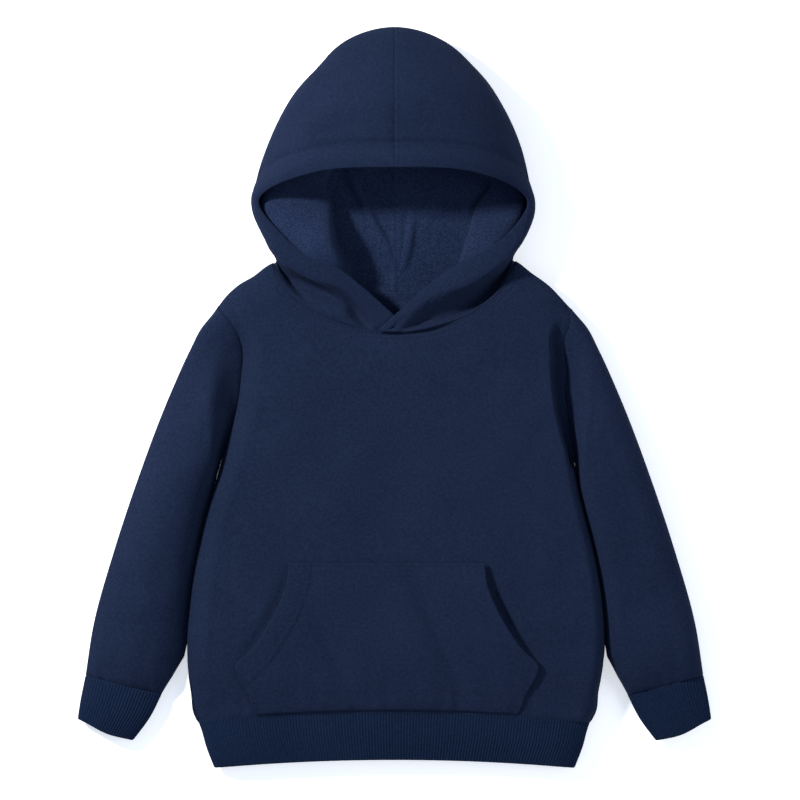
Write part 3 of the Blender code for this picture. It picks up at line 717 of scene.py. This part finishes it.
def makeFront():
    columns, shoulder = frontPanel["columns"]
    plan = bodyPlan(np.linspace(0, 0.5, columns), shoulder, *frontPanel["rows"])
    x, y = np.moveaxis(plan, -1, 0)
    grid = asLaid(np.stack([x, y, frontSurface(x, y) - mouthDepth(x, y)], -1))
    item = clothShell("frontPanel", grid)
    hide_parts("front")
    toNeck = nearLine(x, y, necklinePoints(400))
    normals = gridNormals(grid)
    inNeck = slice(shoulder + 6, -shoulder - 6)
    for away in neckStitching["rows"]:
        sew("neckStitches", levelLine(grid[:, inNeck], normals[:, inNeck], toNeck[:, inNeck], away))


backPanel = {"columns": (30, 22), "rows": (40, 58)}


def makeBack():
    columns, shoulder = backPanel["columns"]
    plan = bodyPlan(np.linspace(1, 0.5, columns), shoulder, *backPanel["rows"])
    x, y = np.moveaxis(plan, -1, 0)
    grid = asLaid(np.stack([x, y, np.maximum(backHeight(x, y), 0)], -1))
    item = clothShell("backPanel", grid, flip=True)
    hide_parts("back")


# Sleeves

sleeveCut = {
    "outer": (
        # y, out
        (75, 150.6), (60, 163.6), (43, 172.5), (2, 191), (-69, 218), (-130, 238.2), (-192, 255.4),
        (-235, 262.2),
    ),
    "inner": (
        # y, distance outside the body's edge
        (-62, -0.3), (-90, -0.8), (-206, -0.8), (-219, 2.4), (-236, 14), (-251, 26),
    ),
    "height": (
        # share of the way down, height, edge height
        (0, 24, 11), (0.3, 26, 10.5), (0.7, 24, 10), (0.95, 22, 9.5), (1, 18, 8.5),
    ),
    "endY": (-235, -251.5),
    "length": 310,
    "tuck": 4.5,                  # how much lower its edge lies beside the body
    "tuckAcross": (0.45, 0.5),    # where across the sleeve that begins, and its width
    "tuckDown": (0.93, 0.08),     # and how it ends above the cuff
    # reach, fullness and added height: the left one lies round, the right one flat
    "profile": {-1: (1, 0.85, 4), 1: (0.5, 0.55, 0)},
    "capFade": 0.45,
    "rise": 0.13,
    "points": 40,
    "rings": 132,
    "crowding": 0.6,
    "creases": {
        -1: (
            (-150, 66, -160, 36, -166, 0, 8, 0.8), (-140, 20, -152, -6, -160, -40, 8, 0.9),
            (-172, -20, -190, -60, -202, -110, 10, 0.5),
            (-184, -100, -196, -140, -204, -190, 9, 0.6),
            (-214, -130, -228, -170, -234, -214, 9, 0.5),
            (-206, -200, -212, -216, -216, -240, 6, 0.8),
            (-246, -222, -243, -229, -240, -236, 4, 1.6),
        ),
        1: (
            (150, 62, 162, 32, 168, 0, 8, 0.8), (142, 12, 156, -14, 164, -50, 8, 0.8),
            (176, -34, 192, -76, 204, -124, 10, 0.5), (190, -120, 200, -160, 206, -204, 9, 0.6),
            (222, -150, 232, -186, 238, -226, 9, 0.5), (212, -212, 216, -228, 218, -244, 5, 0.9),
        ),
    },
    "waves": (
        (60, 64, 0.4, 1.4), (-28, 48, 0.25, 0.3),
    ),
}


def tubeHeights(distance, height, edgeHeight, topRoll, power=0.5):
    curve = (1 - (1 - np.clip(distance / topRoll, 0, 1)) ** 2) ** power
    top = edgeHeight + (height - edgeHeight) * curve
    bottom = edgeHeight * (1 - rolled(distance, bodyCut["backRoll"]))
    return top, bottom


def sleeveGrid(side):
    even = np.linspace(0, 1, sleeveCut["points"])
    across = even + sleeveCut["crowding"] * ((1 - np.cos(np.pi * even)) / 2 - even)
    topY, underarmY = bodyCut["shoulderTip"][1], bodyCut["underarmY"]
    armholeOut, armholeTop, armholeBottom = bodyEdge(topY + (underarmY - topY) * across)
    armholeOut = armholeOut - bodyCut["seamLap"]
    bulge = armholeOut - (armholeOut[0] + (armholeOut[-1] - armholeOut[0]) * across)
    outerEndY, innerEndY = sleeveCut["endY"]
    innerKeys, innerGaps = np.array(sleeveCut["inner"]).T
    reach, power, fuller = sleeveCut["profile"][side]
    tuckStart, tuckWidth = sleeveCut["tuckAcross"]
    tuckEnd, tuckFade = sleeveCut["tuckDown"]
    grid = []
    for ring in fineEnds(np.linspace(0, 1, sleeveCut["rings"])):
        outerY = topY + (outerEndY - topY) * ring
        innerY = underarmY + (innerEndY - underarmY) * ring
        outerOut = float(readTable(sleeveCut["outer"], outerY))
        innerOut = float(bodyEdge(innerY)[0]) + np.interp(-innerY, -innerKeys, innerGaps)
        height, edgeHeight = readTable(sleeveCut["height"], ring)
        fade = max(0.0, 1 - ring / sleeveCut["capFade"]) ** 2
        rise = eased(ring / sleeveCut["rise"])
        out = outerOut + (innerOut - outerOut) * across + fade * bulge
        y = outerY + (innerY - outerY) * across
        width = math.hypot(innerOut - outerOut, innerY - outerY)
        near = np.minimum(across, 1 - across) * width
        tucked = sleeveCut["tuck"] * eased((across - tuckStart) / tuckWidth)
        tucked = tucked * eased((tuckEnd - ring) / tuckFade)
        height = height + fuller * (1 - ring)
        top, bottom = tubeHeights(near, height, edgeHeight - tucked, reach * width / 2, power)
        top = armholeTop + (top - armholeTop) * rise
        bottom = armholeBottom + (bottom - armholeBottom) * rise
        x = out * side
        calm = rolled(near, 14) * eased(ring / 0.08) * eased((1 - ring) / 0.02)
        top = top - creaseDepth(x, y, sleeveCut["creases"][side]) * rolled(near, 10)
        top = top + softWaves(x, y, sleeveCut["waves"]) * calm
        top = top + gathered(x * 1.2, (1 - ring) * sleeveCut["length"]) * rolled(near, 12)
        under = np.stack([x, y, bottom], -1)[-2:0:-1]
        grid.append(np.concatenate([np.stack([x, y, top], -1), under]))
    return asLaid(grid)


def makeSleeves():
    for side, word in ((-1, "Left"), (1, "Right")):
        grid = sleeveGrid(side)
        item = clothShell("sleeve" + word, grid, closed=True, flip=side > 0)
        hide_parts("sleeve_" + word.lower())


# Ribbed bands

ribs = {"height": 0.75, "wall": 2.4, "pointsARib": 5}

hemBand = {
    "sizes": (
        # share of the way down, half width, height, edge height
        (0, 164.5, 20, 9), (0.5, 160.5, 18.5, 8.5), (1, 153, 15, 7),
    ),
    "roll": 24,
    "length": 41.6,
    "ribs": 264,
    "rings": 13,
}

cuffCut = {
    "sizes": (
        # share of the way, outer out, outer y, inner out, inner y, height, edge height
        (0, 262.2, -235, 197.5, -251.5, 18, 8.5), (0.55, 266.5, -256, 208.5, -272.5, 17, 8.2),
        (1, 269, -272, 222, -290, 14.5, 7),
    ),
    "ribs": 54,
    "rings": 13,
}


def evenLoop(plan, top, bottom, count):
    # a ring round a flat tube, its points at even steps
    loop = np.concatenate([np.column_stack([plan, top]), np.column_stack([plan, bottom])[-2::-1]])
    steps = np.linalg.norm(np.diff(loop, axis=0), axis=1)
    along = np.concatenate([[0], np.cumsum(steps)])
    wanted = np.arange(count) / count * along[-1]
    return np.stack([np.interp(wanted, along, values) for values in loop.T], -1)


def ringOutward(ring):
    tangent = unit(np.roll(ring, -1, axis=0) - np.roll(ring, 1, axis=0))
    spread = ring - ring.mean(axis=0)
    normal = np.linalg.svd(spread, full_matrices=False)[2][2]
    outward = unit(np.cross(tangent, normal))
    return outward if np.sum(outward * spread) > 0 else -outward


def ribbedBand(name, rings, shares, flip, nodeName):
    # outer rings with rounded ribs, folded over at the open end, and a plain inside
    wall = ribs["wall"]
    phase = np.arange(len(rings[0])) / ribs["pointsARib"] * 2 * np.pi
    groove = ribs["height"] * (0.5 - 0.5 * np.cos(phase)) ** 1.3
    outer = []
    inner = []
    for ring, share in zip(rings, shares):
        outward = ringOutward(ring)
        fromEnds = np.minimum(share, 1 - share) * np.linalg.norm(rings[-1] - rings[0], axis=1)
        full = 0.1 + 0.9 * rolled(fromEnds, wall * bodyCut["edgeRound"])
        middle = ring - outward * wall / 2
        half = (wall / 2 * full)[:, None]
        outer.append(middle + outward * half - outward * (groove * full)[:, None])
        inner.append(middle - outward * half)
    outer = np.array(outer)
    outer[..., 2] = np.maximum(outer[..., 2], 0)
    item = makeWall(name, outer, np.array(inner), clothLengths(outer), [ribKnit], True, flip)
    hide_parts(nodeName)


def makeHemBand():
    across = np.sin(np.linspace(-np.pi / 2, np.pi / 2, 801))
    shares = fineEnds(np.linspace(0, 1, hemBand["rings"]))
    rings = []
    for share in shares:
        half, height, edgeHeight = readTable(hemBand["sizes"], share)
        x = half * across
        drop = share * (hemBand["length"] + bodyCut["seamLap"])
        y = hemSeamY(x) + bodyCut["seamLap"] - drop
        top, bottom = tubeHeights(half - np.abs(x), height, edgeHeight, hemBand["roll"])
        ring = evenLoop(np.stack([x, y], -1), top, bottom, hemBand["ribs"] * ribs["pointsARib"])
        rings.append(asLaid(ring))
    ribbedBand("hemRib", rings, shares, False, "hem_band")


def makeCuffs():
    across = (1 - np.cos(np.linspace(0, np.pi, 401))) / 2
    shares = fineEnds(np.linspace(0, 1, cuffCut["rings"]))
    rings = []
    for share in shares:
        values = readTable(cuffCut["sizes"], share)
        outerEdge, innerEdge = values[0:2], values[2:4]
        width = float(np.linalg.norm(innerEdge - outerEdge))
        near = np.minimum(across, 1 - across) * width
        top, bottom = tubeHeights(near, *values[4:6], width / 2)
        plan = outerEdge + (innerEdge - outerEdge) * across[:, None]
        plan[:, 1] += bodyCut["seamLap"] * (1 - share)
        rings.append(evenLoop(plan, top, bottom, cuffCut["ribs"] * ribs["pointsARib"]))
    for side, word in ((1, "Right"), (-1, "Left")):
        sided = [asLaid(ring * (side, 1, 1)) for ring in rings]
        ribbedBand("cuff" + word, sided, shares, side > 0, "cuff_" + word.lower())


# Kangaroo pocket

pocketCut = {
    "centre": -6.4,
    "outline": (
        # y, half width
        (-139, 83), (-157, 85), (-175, 92), (-195, 103), (-212, 115.5), (-225, 128.5),
        (-233, 126.5), (-248, 118), (-262, 109.5),
    ),
    "seamBow": 1.5,
    "sewnFlat": 1.5,              # how much flatter it lies where the hem band holds it
    "puff": 0.9,
    "puffSlant": 0.5,
    "puffEnd": 0.9,
    "openEnd": 0.74,              # share of the way down at which the openings end
    "gap": 0.4,                   # between the front and the pocket's inner side
    "topCrowding": 0.35,
    "sunk": 0.4,                  # dip along each row of stitches
    "hemStep": 0.7,               # how much the turned hems of the openings stand out
    "lift": (1.2, 4.2),           # how far its left and its right opening gape
    "mouths": (
        # side, depth and width of the dip in the front beside each opening
        (-1, 1.6, 4), (1, 3.4, 5.5),
    ),
    "rows": 62,
    "columns": 110,
    "openingY": (-139, -227),
    "hemRows": (14.6, 18.9),
    "topRow": 3,
    "sideRows": (2.2, 5.8),
}


def makePocket():
    side = np.linspace(-1, 1, pocketCut["columns"])
    side = fineEnds(side + pocketCut["topCrowding"] * (np.sin(side * np.pi / 2) - side))
    topY = pocketCut["outline"][0][0]
    bottomY = pocketCut["outline"][-1][0]
    liftLeft, liftRight = pocketCut["lift"]
    grid = []
    for share in fineEnds(np.linspace(0, 1, pocketCut["rows"])):
        level = topY + (bottomY - topY) * share
        x = pocketCut["centre"] + float(readTable(pocketCut["outline"], level)) * side
        y = level - pocketCut["seamBow"] * share * (x / 100) ** 2
        y = y + (hemSeamY(x) + 0.6 - y) * eased((share - 0.9) / 0.1)
        swell = math.sqrt(math.sin(math.pi * min(1.0, share / pocketCut["puffEnd"])))
        puff = swell * (pocketCut["puff"] + pocketCut["puffSlant"] * side)
        opened = math.sin(math.pi * min(1.0, share / pocketCut["openEnd"]))
        gape = (liftRight * eased((side - 0.62) / 0.38) ** 1.5
                + liftLeft * eased((-side - 0.7) / 0.3) ** 1.5) * opened
        stack = pocketCut["gap"] + bodyCut["wall"]
        stack = stack - pocketCut["sewnFlat"] * eased((share - 0.93) / 0.07)
        grid.append(np.stack([x, y, frontSurface(x, y) + stack + puff + gape], -1))
    grid = np.array(grid)
    x, y = grid[..., 0], grid[..., 1]
    opening = grid[:, 0, 1] > pocketCut["openingY"][1]

    def toEdges(part):
        return np.minimum(nearLine(x, y, grid[part, 0, :2]), nearLine(x, y, grid[part, -1, :2]))

    toTop = nearLine(x, y, grid[0, :, :2])
    toOpening = toEdges(opening)
    sewn = [(toOpening, away) for away in pocketCut["hemRows"]]
    sewn += [(toEdges(~opening), away) for away in pocketCut["sideRows"]]
    for field, away in [(toTop, pocketCut["topRow"])] + sewn:
        grid[..., 2] -= pocketCut["sunk"] * bell(field - away)
    grid[..., 2] += pocketCut["hemStep"] * eased((pocketCut["hemRows"][1] + 1 - toOpening) / 1.5)
    free = np.ones(grid.shape[:2])
    free[-4:] = 0
    item = clothShell("kangarooPocket", grid, free=free)
    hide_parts("pocket")
    normals = gridNormals(grid)
    sew("pocketStitches", levelLine(grid, normals, toTop, pocketCut["topRow"]))
    half = len(side) // 2
    for field, away in sewn:
        for part in (slice(0, half), slice(half, None)):
            sew("pocketStitches", crossLine(grid, normals, field, away, part))


# Hood

hoodCut = {
    "lines": (
        # neck share, then (out, y, height) at low, strip, side, arc and top
        (-0.055, (43, 107.5, 30), (90, 133.5, 32.5), (117.3, 168, 31), (66, 190.5, 61), (0, 194, 68)),
        (0.02, (47, 101, 31.8), (95.5, 127, 33.5), (120.2, 169.5, 29), (66, 199, 61), (0, 203, 67)),
        (0.09, (52, 92, 32.5), (100, 120.5, 33.5), (121.6, 171.5, 25), (67, 207.5, 58), (0, 213, 64)),
        (0.14, (57, 88, 30), (102.5, 119.5, 29), (122, 171, 22), (70, 219, 55), (0, 229, 62.5)),
        (0.23, (76, 87, 22), (104.5, 120, 19), (122.2, 170, 18.5), (74, 236, 49.5), (0, 257, 59)),
        (0.36, (95, 103.5, 17.8), (106, 122, 14), (122.2, 170, 14), (79, 259, 33), (0, 292, 40)),
        (0.50, (105.5, 121, 11.2), (107.5, 130, 9.5), (121, 168, 8.5), (80, 264, 14), (0, 315, 17)),
        (0.57, (94, 121, 0), (99, 133, 0), (110, 168, 0), (71, 252, 0), (0, 300, 0)),
        (0.66, (74, 113, 13), (80, 134, 16), (86, 165, 15), (66, 218, 6), (0, 276, 0)),
        (0.76, (48, 111, 20), (57, 136, 22), (59.5, 163, 21), (58, 194, 14), (0, 255, 0)),
        (0.82, (40, 109, 3), (49.5, 137, 1), (51.5, 163, 1), (50, 193, 1), (0, 238, 0)),
        (0.91, (20, 109, 0), (25, 137, 0), (26, 162, 0), (26, 190, 0), (0, 220, 0)),
        (1.00, (0, 109, 0), (0, 136, 0), (0, 161, 0), (0, 187, 0), (0, 202, 0)),
    ),
    "stepsALine": (14, 18, 18, 16, 14, 12, 12, 10, 10, 12, 16, 16),
    "stepsAlong": (8, 14, 16, 30, 32),
    "apexWidth": 0.0093,          # widening of the top for each millimetre up
    "apexFrom": 276,
    "apexBend": 16,
    # places in the rows above: where the lower edge of the strip's fold ends, where the
    # outside ends, and where the folded inside has passed over into the hood's back
    "edgeEnd": 4.6,
    "outsideEnd": 6,
    "backStart": 9.6,
    "corner": (105, 120),         # where strip, crown and neckline meet at the side
    "cornerThin": (0.3, 9, 12),
    "cornerCalm": (13, 70),       # reach and rounds in which the cloth is evened out
    "edgeRounds": 8,              # in which the drop under the strips is evened out
    "leastHeight": 4.6,           # of the dropped cloth, over the hood's back
    "cornerGap": 0.3,
    "cornerWidth": 0.08,
    "rightLapLift": 3.4,
    "lapEnd": 0.19,
    "lapFade": 0.09,
    "hemWidth": 19.5,
    "hemStep": 0.9,
    "hemPuff": (0.4, 0.9),        # over the neck, and round the crown
    "hemRow": 17.8,
    "hemTrough": 1.1,             # dip of the crown above the hem's stitching
    "topFacing": 0.45,            # the hem is sewn where it faces up at least so far
    "hemSewnOut": 103,
    "edgeRow": 2.2,               # stitching beside the left opening edge
    "edgeSewn": (-44, 176),       # it ends at this x and y
    "centreRow": 3.4,
    "crownDome": (2.5, 250, 30),
    "stripEdge": {
        # lower edge of the strip over the neck, seen from above
        -1: ((22.5, 58), (24.2, 67.6), (29.3, 76.9), (35.3, 84.6), (49.7, 89.7),
             (67.6, 97.3), (84.6, 105.8), (97.3, 116)),
        1: ((6, 60), (22.5, 73.5), (41.2, 82), (68.4, 93.1), (86.3, 105.8),
            (99.9, 119.4)),
    },
    "stripDrop": {
        # how far the cloth drops below that edge, how wide the dip is, and how it
        # comes up again to the neckline
        -1: (12.5, 9, 12),
        1: (11, 30, 7),
    },
    "outerLines": {
        # the left side of the crown lies rounder
        -1: {0: (66, 190.5, 57), 1: (66, 199, 57), 2: (67, 207.5, 54), 3: (70, 219, 50.5),
             4: (74, 236, 44), 5: (79, 259, 29)},
        1: {},
    },
    "innerLines": {
        # the side that is wrapped round inside: its back, crest and foot, for each side
        -1: {7: ((94, 121, 0), (101, 133, 0), (114, 168, 0), (71, 252, 0)),
             8: ((80, 113, 22), (90, 133, 28), (111, 167, 24), (74, 214, 11)),
             9: ((48, 111, 27), (55.5, 135, 32), (59, 163, 18), (58, 194, 9)),
             10: ((42, 109, 3), (50.5, 136, 1), (54.5, 163, 1), (54, 193, 1))},
        1: {7: ((94, 121, 0), (101, 133, 0), (114, 168, 0), (71, 252, 0)),
            8: ((84, 113, 12), (91, 133, 12), (111, 167, 9), (88, 214, 6)),
            9: ((58, 113, 6), (66, 137, 6), (73.5, 164, 5.5), (80, 194, 5)),
            10: ((52, 112, 0), (61, 137, 0), (68, 163, 0), (75, 190, 0))},
    },
    "backCreases": {
        # inside, seen from above: start x, y, bend x, y, end x, y, half width, depth
        -1: (
            (-39, 190, -24, 162, -1, 118, 2.6, -3.6),
        ),
        1: (
            (15, 156, 14, 136, 8, 112, 3, -2.8), (34, 186, 30, 164, 24, 140, 5, -0.9),
            (4.2, 200, 4.2, 150, 4.2, 100, 2.4, -1.1),
        ),
    },
    "crownCreases": {
        -1: (
            (-44, 286, -66, 256, -86, 224, 11, 0.7), (-24, 262, -30, 240, -34, 222, 9, 0.5),
            (-112, 178, -104, 196, -92, 208, 6, 0.7),
        ),
        1: (
            (40, 288, 60, 262, 80, 228, 11, 0.6), (26, 258, 30, 238, 36, 220, 8, 0.6),
            (112, 176, 106, 192, 94, 206, 6, 0.7),
        ),
    },
}


def stepped(steps):
    # table places at even steps within each row
    parts = [number + np.arange(count) / count for number, count in enumerate(steps)]
    return fineEnds(np.concatenate(parts + [[len(steps)]]))


def hoodGrid(side, lapLift):
    places = stepped(hoodCut["stepsALine"])
    lines = hoodCut["lines"]
    shares = smoothRead(range(len(lines)), [line[0] for line in lines], places)
    table = np.array([line[1:] for line in lines], float)
    for number, line in hoodCut["innerLines"][side].items():
        table[number, :4] = line
    for number, arc in hoodCut["outerLines"][side].items():
        table[number, 3] = arc
    table = np.concatenate([table, table[-2:-1] * (-1, 1, 1)])
    fine = smoothRead(range(len(table)), table.reshape(len(table), -1), places)
    fine = fine.reshape(len(shares), -1, 3)
    out, neckY = neckPoint(np.abs(shares))
    out = out * np.sign(shares)
    neckHeight = np.where(shares <= 0.5, frontHeight(out, neckY), backHeight(out, neckY))
    lift = lapLift * np.clip((hoodCut["lapEnd"] - shares) / hoodCut["lapFade"], 0, 1)
    neck = np.stack([out, neckY, neckHeight + lift], -1)
    fromCorner = (shares - 0.5) / hoodCut["cornerWidth"]
    gap = hoodCut["cornerGap"] * bell(fromCorner) - bodyCut["seamLap"]
    neck[:, :2] += gap[:, None] * neckInward(shares)
    fine = np.concatenate([neck[:, None], fine, fine[:, -2:-1] * (-1, 1, 1)], axis=1)
    along = stepped(hoodCut["stepsAlong"])
    grid = np.stack([smoothRead(range(fine.shape[1]), line, along) for line in fine])
    grid[..., 0] -= bodyCut["seamLap"] / 2
    grid[..., 2] = np.maximum(grid[..., 2], 0)
    return grid, places, along, shares


def nearPath(grid, path):
    # distance in space to a path of straight steps
    best = np.full(grid.shape[:-1], 1e9)
    for start, end in zip(path[:-1], path[1:]):
        step = end - start
        share = np.clip((grid - start) @ step / (step @ step), 0, 1)
        best = np.minimum(best, np.linalg.norm(grid - start - share[..., None] * step, axis=-1))
    return best


def pastEdge(x, y, line):
    # distance in plan from a bent line, positive on the neckline's side of it
    fine = smoothRead(range(len(line)), line, np.linspace(0, len(line) - 1, 240))
    below = y < np.interp(x, fine[:, 0], fine[:, 1])
    return nearLine(x, y, fine) * np.where(below, 1, -1)


def evenOut(field, share, rounds):
    # draws each inner point of a grid towards the mean of its four neighbours
    share = share[1:-1, 1:-1].reshape(field[1:-1, 1:-1].shape[:2] + (1,) * (field.ndim - 2))
    for _ in range(rounds):
        around = field[:-2, 1:-1] + field[2:, 1:-1] + field[1:-1, :-2] + field[1:-1, 2:]
        field[1:-1, 1:-1] += (around / 4 - field[1:-1, 1:-1]) * share


def shapeHood(side, grid, places, along):
    # the dome of the crown, the hem, the drop under the strips and the creases
    row = places[:, None]
    pastFold = row > hoodCut["edgeEnd"]
    toEdge = np.where(pastFold, 1e3, nearPath(grid, grid[0, ::2]))
    u, _ = clothLengths(grid)
    toCentre = u[:, -1:] - u
    height, domeY, domeReach = hoodCut["crownDome"]
    upper = eased((row - 2) / 0.6) * eased((hoodCut["outsideEnd"] - row) / 1.2)
    grid[..., 2] += height * bell((grid[..., 1] - domeY) / domeReach) * upper
    x, y, z = (grid[..., axis] for axis in range(3))
    line = hoodCut["stripEdge"][side]
    past = pastEdge(x, y, line)
    strip = eased((2.6 - along) / 0.4) * eased(5.2 - row)
    deep, width, stand = hoodCut["stripDrop"][side]
    drop = deep * eased((past + 1.6) / 3.4) * bell(np.maximum(past - 2, 0) / width)
    drop = drop * eased((u - 1.8) / stand) * strip
    drop = drop * eased(np.hypot(x - line[-1][0], y - line[-1][1]) / 10)
    cornerOut, cornerY = neckPoint(0.5)
    drop = drop * eased((np.hypot(x - cornerOut, y - cornerY) - 2) / 14)
    crown = eased((along - 2.3) / 0.5)
    beyond = toEdge - hoodCut["hemWidth"]
    trough = hoodCut["hemTrough"] * bell((beyond - 2) / 3) * crown
    creases = creaseDepth(x * side, y, hoodCut["crownCreases"][side]) * upper
    inner = eased((row - hoodCut["backStart"]) / 0.5) * eased(x / 5)
    creases = creases + creaseDepth(x * side, y, hoodCut["backCreases"][side]) * inner
    low = np.minimum(z, hoodCut["leastHeight"])
    z[:] = np.where(row < hoodCut["outsideEnd"], np.maximum(z - drop, low), z)
    z -= trough + creases
    reach, rounds = hoodCut["cornerCalm"]
    cornerX, cornerY = hoodCut["corner"]
    calm = np.exp(-(np.hypot(x - cornerX, y - cornerY) / reach) ** 4)
    calm = calm * eased((row - 2.6) / 0.8) * eased((8.4 - row) / 0.8) * eased(along / 0.9)
    evenOut(grid, calm, rounds)
    evenOut(z, bell((past - 0.5) / 5) * strip, hoodCut["edgeRounds"])
    flat, puffed = hoodCut["hemPuff"]
    puff = flat + (puffed - flat) * crown
    puff = puff * np.sin(np.pi * np.clip(toEdge / hoodCut["hemWidth"], 0, 1))
    rise = hoodCut["hemStep"] * eased(-beyond / 1.2) * crown + puff
    hemField = toEdge * crown + (hoodCut["hemRow"] + 2.8 + past) * (1 - crown)
    hemField = np.where(pastFold, 1e3, hemField)
    sunk = 0.5 * bell(hemField - hoodCut["hemRow"])
    sunk = sunk + 0.3 * bell(toCentre - hoodCut["centreRow"]) * (row < hoodCut["outsideEnd"])
    grid = grid + gridNormals(grid) * (rise - sunk)[..., None]
    grid[..., 2] = np.maximum(grid[..., 2], 0)
    bend, straight = hoodCut["apexFrom"], hoodCut["apexFrom"] + hoodCut["apexBend"]
    above = np.clip(grid[..., 1] - bend, 0, hoodCut["apexBend"]) ** 2 / (2 * hoodCut["apexBend"])
    above = above + np.maximum(grid[..., 1] - straight, 0)
    grid[..., 0] *= 1 + hoodCut["apexWidth"] * above
    return grid, hemField, toEdge, toCentre


def makeHood():
    for side, word in ((1, "Right"), (-1, "Left")):
        lift = hoodCut["rightLapLift"] if side > 0 else 0.0
        grid, places, along, shares = hoodGrid(side, lift)
        grid, hemField, toEdge, toCentre = shapeHood(side, grid, places, along)
        neckSeam = np.zeros_like(grid)
        neckSeam[:, 0, :2] = neckInward(shares)
        centreSeam = np.zeros_like(grid)
        centreSeam[-1, :, 0] = 1
        centreSeam[:, -1, 0] = 1
        grid = asLaid(grid * (side, 1, 1))
        normals = gridNormals(grid) * side
        hemLine = levelLine(grid, normals, hemField, hoodCut["hemRow"])
        onTop = hemLine[:, 5] > hoodCut["topFacing"]
        sew("hoodStitches", hemLine[onTop & (np.abs(hemLine[:, 0]) < hoodCut["hemSewnOut"])])
        if side < 0:
            edgeLine = levelLine(grid, normals, toEdge, hoodCut["edgeRow"])
            mostX, mostY = hoodCut["edgeSewn"]
            sew("hoodStitches", edgeLine[(edgeLine[:, 0] < mostX) & (edgeLine[:, 1] < mostY)])
        else:
            part = (slice(None, None, -1), places < hoodCut["outsideEnd"])
            sew("hoodStitches", crossLine(grid, normals, toCentre, hoodCut["centreRow"], part))
        free = np.zeros(grid.shape[:2])
        free[places < 1] = 1
        cornerX, cornerY = hoodCut["corner"]
        least, start, reach = hoodCut["cornerThin"]
        fromCorner = np.hypot(np.abs(grid[..., 0]) - cornerX, grid[..., 1] - cornerY)
        thin = least + (1 - least) * eased((fromCorner - start) / reach)
        seams = [neckSeam * (side, 1, 1), centreSeam * (side, 1, 1)]
        item = clothShell("hood" + word, grid, False, side < 0, seams, free, thin)
        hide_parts("hood_" + word.lower())


makeFront()
makeBack()
print("front and back laid")
makeSleeves()
makeHemBand()
makeCuffs()
print("sleeves, cuffs and hem band made")
makePocket()
makeHood()
print("pocket and hood made")
for name in stitchLines:
    makeStitches(name)
print("stitching done")


# Floor, light and camera

studio = {
    "floor": {"Base Color": (0.90, 0.90, 0.90, 1), "Roughness": 0.9, "Specular IOR Level": 0.1,
              "Emission Color": (1, 1, 1, 1),
              "Emission Strength": 0.5},  # a light table: the shadow beside it stays soft
    "floorHalf": 4,
    "floorDrop": -0.0005,
    "key": {"place": (-1.32, 0.80, 1.08), "size": 0.22, "power": 54.0},
    "fill": {"place": (2.3, -0.4, 1.5), "size": 1.6, "power": 26.0},
    "sky": {"Color": (0.36, 0.445, 0.58, 1), "Strength": 1.0},
    "cameraHeight": 5.667,
    "aim": (4.7, -1.3),
    "lens": 300,
}


def areaLight(name, place, size, power):
    light = bpy.data.lights.new(name, "AREA")
    light.shape = "DISK"
    light.size = size
    light.energy = power
    item = addObject(name, light, place)
    item.rotation_euler = Vector(place).to_track_quat("Z", "Y").to_euler()


def makeStudio():
    mesh = bpy.data.meshes.new("floor")
    half = studio["floorHalf"]
    corners = [(x * half, y * half, studio["floorDrop"])
               for x, y in ((-1, -1), (1, -1), (1, 1), (-1, 1))]
    mesh.from_pydata(corners, [], [(0, 1, 2, 3)])
    floor = addObject("floor", mesh)
    material, _, shader = newMaterial("paleFloor")
    setInputs(shader, studio["floor"])
    mesh.materials.append(material)
    for name in ("key", "fill"):
        areaLight(name, **studio[name])
    world = bpy.data.worlds.new("studio")
    world.use_nodes = True
    setInputs(world.node_tree.nodes["Background"], studio["sky"])
    bpy.context.scene.world = world
    camera = bpy.data.cameras.new("camera")
    camera.lens = studio["lens"]
    camera.clip_end = 50.0
    aimX, aimY = studio["aim"]
    item = addObject("camera", camera, (aimX * mm, aimY * mm, studio["cameraHeight"]))
    bpy.context.scene.camera = item
    bpy.context.scene.view_settings.view_transform = "Standard"


makeStudio()
print("studio set")
